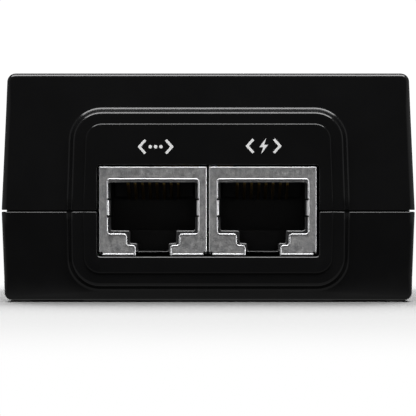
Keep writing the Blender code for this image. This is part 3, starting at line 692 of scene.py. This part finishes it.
def openings():
    """Cuts for the two walls, for rings that would cross them."""
    port_x, inlet_x = PORT_HALF + 0.4, INLET_HALF + 0.4
    port = box((-port_x, port_x), (PANEL_FRONT - 1, CASE_FRONT + 4), (PORT_LOW, PORT_HIGH))
    return cut(port, box((-inlet_x, inlet_x), (CASE_REAR - 4, CASE_REAR + 2), (INLET_LOW, INLET_HIGH)))


def centre_of(name):
    low, high = node_box(name)
    return (low + high) / 2


def make_shells():
    groove = combined(plan_ring(0.5, 1.4, UPPER_SEAM - 1.0, UPPER_SEAM + 1.3), openings())
    hole = flared_hole(PIPE_HOLE, 0.25, CASE_TOP, CASE_TOP - WALL - 1.0, centre_of("light_pipe"))
    make_piece("case_top", combined(shell(UPPER), cut(groove, hole)), "case_plastic", replaces=["top_shell"])

    tongue = combined(plan_ring(0.7, 1.0, LOWER_SEAM - 2.0, UPPER_SEAM + 1.0), openings())
    steps = [("UNION", tongue)]
    for number in range(1, 5):
        for node, (radius, depth), flare in (("case_screw", SCREW_BORE, 0.25), ("foot", FOOT_SEAT, 0.15)):
            middle = centre_of(f"{node}_{number}")
            steps += cut(flared_hole(radius, flare, CASE_BOTTOM, CASE_BOTTOM + depth, middle))
    low, high = node_box("rating_label")
    depth = (CASE_BOTTOM - 1, CASE_BOTTOM + 0.25)
    recess = box((low.x - 0.3, high.x + 0.3), (low.y - 0.3, high.y + 0.3), depth)
    steps += cut(bevel(recess, split_edges(recess)[0], 1.8, 6))
    make_piece("case_bottom", combined(shell(LOWER), steps), "case_plastic", replaces=["bottom_shell"])


make_shells()


# Prisms with rounded mouths, and bevelled boxes.


def rounded(points, radii, steps=5):
    """A closed polygon with its corners rounded. radii is one number or one for each corner."""
    corners = [Vector(p) for p in points]
    sizes = radii if isinstance(radii, (list, tuple)) else [radii] * len(corners)
    made = []
    for i, corner in enumerate(corners):
        if sizes[i] > 0:
            made += fillet(corners[i - 1], corner, corners[(i + 1) % len(corners)], sizes[i], steps)
        else:
            made.append(corner)
    return made


def prism(outline, start, end, flare=0.0, crest=0.0):
    """A closed prism along Y from a start depth to an end depth.

    flare widens its start like a rounded mouth, for a cutter that begins at that face. crest rounds the edge
    of its start, for a solid.
    """
    area = sum(a.x * b.y - b.x * a.y for a, b in zip(outline, outline[1:] + outline[:1]))
    outward = normals(outline, closed=True)
    if area > 0:
        outward = [-n for n in outward]
    turn = 1 if end > start else -1
    rows = []
    if flare:
        rows.append(station(offset(outline, outward, flare), start - turn))
        for angle in quarter(4):
            inset = offset(outline, outward, flare * (1 - math.sin(angle)))
            rows.append(station(inset, start + turn * flare * (1 - math.cos(angle))))
    elif crest:
        for angle in quarter(4):
            inset = offset(outline, outward, -crest * (1 - math.sin(angle)))
            rows.append(station(inset, start + turn * crest * (1 - math.cos(angle))))
    else:
        rows.append(station(outline, start))
    rows.append(station(outline, end))
    bm, made = skin(rows, loop=True)
    bm.faces.new(made[0])
    bm.faces.new(made[-1])
    return outwards(bm)


def soft_box(x, y, z, radius, segments=3):
    """A box with all its edges rounded."""
    bm = box(x, y, z)
    return bevel(bm, bm.edges[:], radius, segments)


def tube(points, radius, sides=12, level=(1.0, 0.0, 0.0)):
    """A round wire along smooth points, with domed ends. It never runs along the level direction."""
    bm = bmesh.new()
    rows = []
    count = len(points)
    for i, point in enumerate(points):
        along = (points[min(i + 1, count - 1)] - points[max(i - 1, 0)]).normalized()
        across = along.cross(Vector(level)).normalized()
        third = along.cross(across)
        spots = [(0.0, 1.0)]
        if i == 0:
            spots = [(-0.9, 0.45), (-0.6, 0.8), (0.0, 1.0)]
        if i == count - 1:
            spots = [(0.0, 1.0), (0.6, 0.8), (0.9, 0.45)]
        for ahead, share in spots:
            ring = []
            for k in range(sides):
                angle = 2 * math.pi * k / sides
                spoke = (across * math.cos(angle) + third * math.sin(angle)) * radius * share
                ring.append(bm.verts.new(point + along * radius * ahead + spoke))
            rows.append(ring)
    for first, second in zip(rows, rows[1:]):
        bridge(bm, first, second)
    bm.faces.new(rows[0])
    bm.faces.new(rows[-1])
    return outwards(bm)


def smoothed(route, samples=6):
    """Points on a smooth curve through the route."""
    spots = [Vector(p) for p in route]
    spots = [2 * spots[0] - spots[1]] + spots + [2 * spots[-1] - spots[-2]]
    made = []
    for a, b, c, d in zip(spots, spots[1:], spots[2:], spots[3:]):
        for k in range(samples):
            t = k / samples
            spot = b + (c - a) * t / 2 + (2 * a - 5 * b + 4 * c - d) * t * t / 2
            made.append(spot + (3 * b - a - 3 * c + d) * t ** 3 / 2)
    return made + [spots[-2]]


# Network jacks. Each is drawn about its own middle and then moved along X.

JACK_X = centre_of("power_jack_shield").x
JACK_SHIFT = -0.05
SHIELD_LOW, SHIELD_HIGH = node_box("power_jack_shield")
SHIELD_HALF = (SHIELD_HIGH.x - SHIELD_LOW.x) / 2
SHIELD_FLANGE = SHIELD_LOW.z - 0.18
HOUSING_LOW, HOUSING_HIGH = node_box("power_jack_housing")
HOUSING_HALF = (HOUSING_HIGH.x - HOUSING_LOW.x) / 2
INSERT_LOW, INSERT_HIGH = node_box("power_jack_contact_insert")
INSERT_HALF = (INSERT_HIGH.x - INSERT_LOW.x) / 2
SHEET = 0.28
LEDGES = ((6.33, 9.67), (3.66, 8.06), (2.43, 5.5))
LEDGE_CORNERS = [0.42, 0.42, 0.35, 0.42, 0.35, 0.0, 0.0, 0.35, 0.42, 0.35, 0.42, 0.42]
LINTEL = 17.24
LINTEL_DROP = 0.32
COINED_DEPTH = 0.13
RIM_RADIUS = 0.12
RIM_SPREAD = 0.1
FINGER_LOW = 12.26
FINGER_HIGH = 14.35
FINGER_SLIT = 0.3
CAVITY_LEDGES = ((5.95, 10.13), (3.25, 8.34), (2.18, 7.2))
CAVITY_TOP = 16.98
CONTACT_COUNT = 8
CONTACT_PITCH = 1.016
CONTACT_RADIUS = 0.22
HINGE_Y = -42.3
HINGE_Z = 16.75


def stepped(ledges, top):
    """The outline of a jack's opening: a wide top over two ledges, symmetrical about X."""
    right = [(ledges[0][0], top), ledges[0], (ledges[1][0], ledges[0][1]), ledges[1]]
    right += [(ledges[2][0], ledges[1][1]), ledges[2]]
    return right + [(-x, z) for x, z in reversed(right)]


def span(side, inner, outer):
    """A range of x on one side of the middle."""
    return sorted((side * inner, side * outer))


def shield():
    """A folded sheet box with a stepped opening, side springs and corner notches."""
    front, low = SHIELD_LOW.y, SHIELD_LOW.z
    outer = soft_box((-SHIELD_HALF, SHIELD_HALF), (front, SHIELD_HIGH.y), (low - 1.0, SHIELD_HIGH.z), 0.2, 4)
    inner = SHIELD_HALF - SHEET
    hollow = box((-inner, inner), (front + SHEET, SHIELD_HIGH.y - SHEET), (low - 2.0, SHIELD_HIGH.z - SHEET))
    coined = prism(rounded(stepped(LEDGES, LINTEL), LEDGE_CORNERS), front - 1.0, front + COINED_DEPTH)
    outline = rounded(stepped(LEDGES, LINTEL - LINTEL_DROP), LEDGE_CORNERS)
    steps = cut(hollow, coined, prism(outline, front - 1.0, front + 1.0))
    steps.append(("UNION", rim(front)))
    for start, end in ((front - 1, SHIELD_FLANGE), (front + 0.5, low)):
        steps += cut(box((-9.0, 9.0), (start, SHIELD_HIGH.y + 1), (low - 2.0, end)))
    for side in (-1, 1):
        for z in (FINGER_LOW - FINGER_SLIT, FINGER_HIGH):
            steps += cut(box(span(side, 6.1, 6.5), (front - 1, front + 1), (z, z + FINGER_SLIT)))
        steps += cut(box(span(side, 7.08, 8.0), (front - 1, front + 0.9), (low - 1, SHIELD_FLANGE + 0.5)))
        outline = [(6.9, front + 0.02), (6.16, front + 0.02), (6.1, -41.0), (6.32, -41.0)]
        outline += [(6.42, front + 0.27), (6.9, front + 0.27)]
        curve = rounded([(side * a, b) for a, b in outline], [0, 0.3, 0.1, 0.1, 0.1, 0])
        steps.append(("UNION", upright_prism(curve, FINGER_LOW, FINGER_HIGH)))
        height = (SHIELD_FLANGE, SHIELD_FLANGE + 0.24)
        lip = soft_box(span(side, 2.62, 7.12), (front - 0.08, front + 0.2), height, 0.11)
        steps.append(("UNION", lip))
    return combined(outer, steps)


def rim(front):
    """The coined bead that runs round the stepped opening, open at the bottom."""
    widened = [(x + RIM_SPREAD, z - RIM_SPREAD) for x, z in LEDGES]
    loop = stepped(widened, LINTEL + RIM_SPREAD)
    path = rounded(loop[6:] + loop[:6], [0.0] + [0.4] * 10 + [0.0])
    return tube([Vector((p.x, front + 0.035, p.y)) for p in path], RIM_RADIUS, 10, (0.0, 1.0, 0.0))


def upright_prism(outline, low, high):
    """A prism along Z over an outline in the XY plane."""
    bm = bmesh.new()
    rows = [[bm.verts.new((p.x, p.y, z)) for p in outline] for z in (low, high)]
    bridge(bm, *rows)
    bm.faces.new(rows[0])
    bm.faces.new(rows[1])
    return outwards(bm)


def housing():
    """The moulded body inside a shield, with its stepped plug cavity and the slot for the contact insert."""
    front = HOUSING_LOW.y
    sides = (-HOUSING_HALF, HOUSING_HALF)
    body = soft_box(sides, (front, HOUSING_HIGH.y), (HOUSING_LOW.z, HOUSING_HIGH.z), 0.12, 2)
    mouth = prism(rounded(stepped(CAVITY_LEDGES, CAVITY_TOP), 0.3), front, -36.0, flare=0.2)
    corners = [(5.93, 16.96), (5.93, 10.09), (-5.93, 10.09), (-5.93, 16.96)]
    deep = prism(rounded(corners, 0.2), -43.2, -32.0)
    slot = box((-5.95, 5.95), (-43.0, -30.5), (14.5, HOUSING_HIGH.z + 1))
    steps = cut(mouth, deep, slot)
    for side in (-1, 1):
        steps += cut(box(span(side, 5.45, 6.75), (-46.0, -40.0), (FINGER_LOW - 0.26, FINGER_HIGH + 0.25)))
    return combined(body, steps)


def contact_places():
    """Where the contacts stand across the jack."""
    return [(number - (CONTACT_COUNT - 1) / 2) * CONTACT_PITCH for number in range(CONTACT_COUNT)]


def insert():
    """The carrier over the contacts, with a comb at the back that keeps them apart."""
    x = (-INSERT_HALF, INSERT_HALF)
    carrier = soft_box(x, (INSERT_LOW.y, INSERT_HIGH.y), (17.3, INSERT_HIGH.z), 0.15, 2)
    steps = [("UNION", soft_box(x, (-32.6, INSERT_HIGH.y), (INSERT_LOW.z, 18.0), 0.12, 2))]
    for middle in contact_places():
        steps += cut(box((middle - 0.3, middle + 0.3), (-34.0, -31.9), (INSERT_LOW.z - 1.0, 17.1)))
    return combined(carrier, steps)


def contacts():
    """Spring wires side by side, each from its hinge line backwards and down."""
    route = ((0, 0), (0.9, -0.2), (7.6, -1.85), (8.9, -2.05))
    wires = []
    for middle in contact_places():
        wires.append(tube(smoothed([(middle, HINGE_Y + y, HINGE_Z + z) for y, z in route]), CONTACT_RADIUS))
    return merged(wires)


def make_jack(jack, x):
    node = jack + "_jack_"
    sheet = moved(shield(), x)
    # The shields' rounded edges carry the painted-highlight copy of the metal.
    make_piece(jack + "_shield", sheet, "shield_metal", replaces=[node + "shield"], edges="shield_edge_painted_highlight")
    make_piece(jack + "_housing", moved(housing(), x), "jack_plastic", replaces=[node + "housing"])
    make_piece(jack + "_insert", moved(insert(), x), "jack_plastic", replaces=[node + "contact_insert"])
    nodes = [f"{node}contact_{number}" for number in range(1, CONTACT_COUNT + 1)]
    wires = moved(contacts(), x)
    make_piece(jack + "_spring_contacts", wires, "contact_gold", replaces=nodes, body=jack + "_contacts")


make_jack("data", JACK_SHIFT - JACK_X)
make_jack("power", JACK_SHIFT + JACK_X)


# Mains inlet at the rear.

INLET_Z = centre_of("inlet_body").z
INLET_BODY_LOW, INLET_BODY_HIGH = node_box("inlet_body")


def hexagon(half_width, half_height, chamfer):
    """The outline of the inlet: a rectangle with its two upper corners cut off."""
    top = half_height - chamfer
    right = [(half_width, -half_height), (half_width, top), (half_width - chamfer, half_height)]
    points = right + [(-x, z) for x, z in reversed(right)]
    return [(x, z + INLET_Z) for x, z in points]


def rectangle(half_width, half_height):
    corners = ((1, -1), (1, 1), (-1, 1), (-1, -1))
    return [(half_width * a, half_height * b + INLET_Z) for a, b in corners]


def make_inlet():
    rear = INLET_BODY_HIGH.y
    flange_half = (INLET_BODY_HIGH.x - INLET_BODY_LOW.x) / 2
    flange_height = (INLET_BODY_HIGH.z - INLET_BODY_LOW.z) / 2
    body = prism(rounded(rectangle(14.0, 10.4), 0.6), rear - 0.7, INLET_BODY_LOW.y)
    flange = prism(rounded(rectangle(flange_half, flange_height), 1.6, 8), rear, rear - 1.2, crest=0.4)
    recess = prism(rounded(hexagon(12.2, 8.4, 5.0), 0.9, 6), rear, 28.0, flare=0.4)
    groove = prism(rounded(hexagon(13.0, 9.2, 5.2), 1.2, 6), rear - 0.3, rear + 1.0)
    island = prism(rounded(hexagon(12.7, 8.9, 5.1), 1.1, 6), rear - 1.0, rear + 2.0)
    steps = [("UNION", flange)] + cut(combined(groove, cut(island)), recess)
    blades = []
    for name in ("line", "neutral", "earth"):
        node = f"inlet_{name}_pin"
        low, high = node_box(node)
        hole = box((low.x - 0.3, high.x + 0.3), (INLET_BODY_LOW.y - 1, 29.0), (low.z - 0.3, high.z + 0.3))
        steps += cut(hole)
        outline = rounded([(low.x, low.z), (high.x, low.z), (high.x, high.z), (low.x, high.z)], 0.5, 4)
        blade = prism(outline, high.y, low.y, crest=0.45)
        eye = rotated(turned([(0, -2), (0.7, -2), (0.7, 2), (0, 2)], steps=20), math.pi / 2, "Y")
        moved(eye, (low.x + high.x) / 2, low.y + 1.6, (low.z + high.z) / 2)
        blades.append((name + "_blade", combined(blade, cut(eye)), node))
    make_piece("inlet_housing", combined(body, steps), "inlet_plastic", replaces=["inlet_body"])
    for name, blade, node in blades:
        make_piece(name, blade, "inlet_pin", replaces=[node])


make_inlet()


# Fasteners, feet, label and light pipe.

SLOT_TAPER = 0.72


def screw():
    """A pan-head screw with a cross recess and a coarse thread, its head downwards."""
    low, high = node_box("case_screw_1")
    head = low.z + 2.1
    profile = [(0.0, high.z), (0.5, high.z), (0.85, high.z - 0.9)]
    level = high.z - 1.2
    while level > head + 1.2:
        profile += [(1.13, level), (0.85, level - 0.35), (0.85, level - 0.45)]
        level -= 0.8
    profile += [(1.05, head + 0.6), (1.05, head), (2.45, head)]
    for angle in quarter(8):
        profile.append((2.6 - 0.75 * (1 - math.cos(angle)), low.z + 1.5 - 1.35 * math.sin(angle)))
    profile += [(1.2, low.z + 0.03), (0.0, low.z)]
    steps = []
    for x, y in ((1.6, 0.4), (0.4, 1.6)):
        slot = box((-x, x), (-y, y), (low.z - 0.5, low.z + 1.1))
        for vertex in slot.verts:
            if vertex.co.z > low.z:
                vertex.co.x *= SLOT_TAPER
                vertex.co.y *= SLOT_TAPER
        steps += cut(slot)
    return combined(turned(profile, steps=40), steps)


def foot_pad(middle):
    """A round rubber foot with ring grooves in its sole."""
    profile = [(0.0, 0.7), (3.95, 0.7), (4.0, 0.6), (3.98, 0.3), (3.88, 0.1), (3.7, 0.02), (3.5, 0.0)]
    for ring in (3.0, 2.4, 1.8, 1.2, 0.6):
        profile += [(ring + 0.18, 0.0), (ring + 0.1, 0.07), (ring - 0.1, 0.07), (ring - 0.18, 0.0)]
    return turned(profile + [(0.0, 0.0)], middle.x, middle.y)


def sticker():
    """The blank label: a thin sheet with round corners and softened rims."""
    low, high = node_box("rating_label")
    sheet = box((low.x, high.x), (low.y, high.y), (low.z, high.z))
    bevel(sheet, split_edges(sheet)[0], 1.5, 8)
    return bevel(sheet, split_edges(sheet)[1], 0.04, 2)


def light_rod():
    """The light pipe: a domed rod with a collar under the shell."""
    low, high = node_box("light_pipe")
    top = high.z
    profile = [(0.0, top), (0.5, top - 0.03), (0.9, top - 0.13), (1.15, top - 0.32), (1.3, top - 0.6)]
    profile += [(1.3, 29.8), (2.3, 29.8), (2.4, 29.7), (2.4, 28.6), (2.3, 28.5), (1.3, 28.5)]
    profile += [(1.3, low.z + 0.15), (1.15, low.z), (0.0, low.z)]
    middle = centre_of("light_pipe")
    return turned(profile, middle.x, middle.y, 40)


def make_small_parts():
    for number in range(1, 5):
        place = centre_of(f"case_screw_{number}")
        piece = moved(rotated(screw(), math.radians(17 + 31 * number), "Z"), place.x, place.y)
        make_piece(f"screw_{number}", piece, "screw_steel", replaces=[f"case_screw_{number}"])
        pad = foot_pad(centre_of(f"foot_{number}"))
        make_piece(f"foot_pad_{number}", pad, "foot_rubber", replaces=[f"foot_{number}"])
    make_piece("label_sticker", sticker(), "label", replaces=["rating_label"])
    make_piece("light_pipe_rod", light_rod(), "light_pipe", replaces=["light_pipe"])


make_small_parts()


# Port marks: generic signs of a network link and of power over the line, printed on the panel.

PRINT_HEIGHT = 0.03
STROKE_WIDTH = 0.36


def stroke(points, width):
    """The outline of a bent line of even width, with mitred corners."""
    spots = [Vector(p) for p in points]
    left, right = [], []
    for i, spot in enumerate(spots):
        before = (spot - spots[i - 1]).normalized() if i else (spots[1] - spot).normalized()
        after = (spots[i + 1] - spot).normalized() if i < len(spots) - 1 else before
        middle = Vector((-(before + after).y, (before + after).x)).normalized()
        reach = width / 2 / max(middle.dot(Vector((-before.y, before.x))), 0.3)
        left.append(spot + middle * reach)
        right.append(spot - middle * reach)
    return left + right[::-1]


def mark(outlines, x, z):
    """Thin raised print on the panel face."""
    shapes = []
    for outline in outlines:
        placed = [Vector((x + p[0], z + p[1])) for p in outline]
        shapes.append(prism(placed, PANEL_FRONT, PANEL_FRONT - PRINT_HEIGHT))
    return merged(shapes)


def disc(x, z, radius, steps=16):
    angles = [2 * math.pi * i / steps for i in range(steps)]
    return [(x + radius * math.cos(a), z + radius * math.sin(a)) for a in angles]


def make_marks():
    left = stroke([(-1.45, 0.95), (-2.3, 0.0), (-1.45, -0.95)], STROKE_WIDTH)
    right = stroke([(1.45, 0.95), (2.3, 0.0), (1.45, -0.95)], STROKE_WIDTH)
    dots = [disc(x, 0.0, 0.25) for x in (-0.75, 0.0, 0.75)]
    bolt = [(0.35, 1.12), (-0.62, -0.16), (-0.06, -0.16), (-0.35, -1.12), (0.62, 0.16), (0.06, 0.16)]
    make_piece("data_port_mark", mark([left, right, *dots], -7.4, 21.9), "print_white")
    make_piece("power_port_mark", mark([left, right, bolt], 7.8, 22.0), "print_white")


make_marks()


# CAD nodes that are shown as they are keep their slot's finish.


def finish_cad_nodes():
    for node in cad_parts.values():
        if node.hide_render:
            continue
        node.data.materials[0] = MATERIALS[node.data.materials[0].name]


finish_cad_nodes()


# Stage: floor, lights and camera.

VIEW_WIDTH = 58.51 * MM
VIEW_HEIGHT = 13.28 * MM
VIEW_DISTANCE = 0.5
VIEW_X = -0.03 * MM
FLOOR_GREY = 0.15
FLOOR_GLOSS = 0.10
FLOOR_FADE = (0.06, 0.24)
GLOW_REACH = (-0.075, -0.052)
GLOW_LEVELS = (0.03, 0.22)
BACKDROP = 1.05
ROOM_GLOWS = (("X", 0.5, 0.95, 0.35), ("X", -0.5, -0.95, 0.25), ("Y", -0.6, -0.95, 0.045))
ROOM_GREY = 0.002


def eased(tree, source, start, end, low=0.0, high=1.0):
    """The source, eased from start to end, as a value from low to high."""
    ramp = tree.nodes.new("ShaderNodeMapRange")
    ramp.interpolation_type = "SMOOTHSTEP"
    for key, value in (("From Min", start), ("From Max", end), ("To Min", low), ("To Max", high)):
        ramp.inputs[key].default_value = value
    tree.links.new(source, ramp.inputs["Value"])
    return ramp.outputs["Result"]


def mixed(tree, factor, first, second):
    """A mix of two shader nodes by a socket that is 0 for the first and 1 for the second."""
    mix = tree.nodes.new("ShaderNodeMixShader")
    tree.links.new(factor, mix.inputs["Fac"])
    tree.links.new(first.outputs[0], mix.inputs[1])
    tree.links.new(second.outputs[0], mix.inputs[2])
    return mix


def split(tree, vector):
    parts = tree.nodes.new("ShaderNodeSeparateXYZ")
    tree.links.new(vector, parts.inputs[0])
    return parts.outputs


def floor_material():
    """A pale satin table that fades to white away from the object. Glossy rays see a glow close in front."""
    material = bpy.data.materials.new("floor")
    material.use_nodes = True
    tree = material.node_tree
    tree.nodes.clear()
    output = tree.nodes.new("ShaderNodeOutputMaterial")
    diffuse = tree.nodes.new("ShaderNodeBsdfDiffuse")
    diffuse.inputs["Color"].default_value = (FLOOR_GREY, FLOOR_GREY, FLOOR_GREY, 1.0)
    gloss = tree.nodes.new("ShaderNodeBsdfGlossy")
    gloss.inputs["Roughness"].default_value = 0.08
    table = tree.nodes.new("ShaderNodeMixShader")
    table.inputs["Fac"].default_value = FLOOR_GLOSS
    tree.links.new(diffuse.outputs[0], table.inputs[1])
    tree.links.new(gloss.outputs[0], table.inputs[2])
    place = tree.nodes.new("ShaderNodeTexCoord").outputs["Object"]
    distance = tree.nodes.new("ShaderNodeVectorMath")
    distance.operation = "LENGTH"
    tree.links.new(place, distance.inputs[0])
    white = tree.nodes.new("ShaderNodeEmission")
    swept = mixed(tree, eased(tree, distance.outputs["Value"], *FLOOR_FADE), table, white)
    glow = tree.nodes.new("ShaderNodeEmission")
    strength = eased(tree, split(tree, place)["Y"], *GLOW_REACH, *GLOW_LEVELS)
    tree.links.new(strength, glow.inputs["Strength"])
    glossy_ray = tree.nodes.new("ShaderNodeLightPath").outputs["Is Glossy Ray"]
    final = mixed(tree, glossy_ray, swept, glow)
    tree.links.new(final.outputs[0], output.inputs["Surface"])
    return material


def make_floor():
    mesh = bpy.data.meshes.new("floor")
    bm = bmesh.new()
    bmesh.ops.create_grid(bm, x_segments=1, y_segments=1, size=4.0)
    bm.to_mesh(mesh)
    bm.free()
    mesh.materials.append(floor_material())
    floor = bpy.data.objects.new("floor", mesh)
    bpy.context.scene.collection.objects.link(floor)
    floor.visible_diffuse = False


def make_light(name, place, target, size, power):
    """A soft box at a place in metres, facing its target. The camera doesn't see it."""
    light = bpy.data.lights.new(name, "AREA")
    light.shape = "RECTANGLE"
    light.size, light.size_y = size
    light.energy = power
    obj = bpy.data.objects.new(name, light)
    obj.location = place
    aim = Vector(target) - Vector(place)
    obj.rotation_euler = aim.to_track_quat("-Z", "Y").to_euler()
    obj.visible_camera = False
    bpy.context.scene.collection.objects.link(obj)
    return obj


def make_lights():
    """One soft box over the front, one behind, and two dim ones at the sides that reach only the shields."""
    make_light("overhead", (0.0, -0.33, 0.75), (0.0, -0.33, 0.0), (1.1, 0.54), 19.0)
    back = make_light("back", (0.0, 0.42, 0.55), (0.0, -0.05, 0.0), (0.55, 0.6), 36.0)
    back.visible_glossy = False
    metal = bpy.data.collections.new("metal")
    for jack in ("data", "power"):
        metal.objects.link(bpy.data.objects[jack + "_shield"])
    for name, x, power in (("right", 0.5, 2.8), ("left", -0.5, 0.8)):
        light = make_light(name, (x, -0.22, 0.03), (0.0, -0.045, 0.013), (0.3, 0.3), power)
        light.light_linking.receiver_collection = metal


def make_world():
    """White behind the object as the camera sees it, and dim grey as the object sees it."""
    world = bpy.data.worlds.new("studio")
    world.use_nodes = True
    bpy.context.scene.world = world
    tree = world.node_tree
    tree.nodes.clear()
    output = tree.nodes.new("ShaderNodeOutputWorld")
    seen = tree.nodes.new("ShaderNodeBackground")
    seen.inputs["Color"].default_value = (1.0, 1.0, 1.0, 1.0)
    seen.inputs["Strength"].default_value = BACKDROP
    axes = split(tree, tree.nodes.new("ShaderNodeTexCoord").outputs["Generated"])
    glows = [eased(tree, axes[axis], start, end, ROOM_GREY, level) for axis, start, end, level in ROOM_GLOWS]
    total = glows[0]
    for glow in glows[1:]:
        add = tree.nodes.new("ShaderNodeMath")
        tree.links.new(total, add.inputs[0])
        tree.links.new(glow, add.inputs[1])
        total = add.outputs[0]
    room = tree.nodes.new("ShaderNodeBackground")
    tree.links.new(total, room.inputs["Color"])
    camera_ray = tree.nodes.new("ShaderNodeLightPath").outputs["Is Camera Ray"]
    tree.links.new(mixed(tree, camera_ray, room, seen).outputs[0], output.inputs["Surface"])


def make_camera():
    camera = bpy.data.cameras.new("camera")
    camera.sensor_width = 36.0
    camera.lens = camera.sensor_width * VIEW_DISTANCE / VIEW_WIDTH
    camera.clip_start = 0.01
    obj = bpy.data.objects.new("camera", camera)
    obj.location = (VIEW_X, cad_low.y - VIEW_DISTANCE, VIEW_HEIGHT)
    obj.rotation_euler = (math.pi / 2, 0.0, 0.0)
    bpy.context.scene.collection.objects.link(obj)
    bpy.context.scene.camera = obj


make_floor()
make_world()
make_lights()
make_camera()
bpy.context.scene.view_settings.view_transform = "Standard"
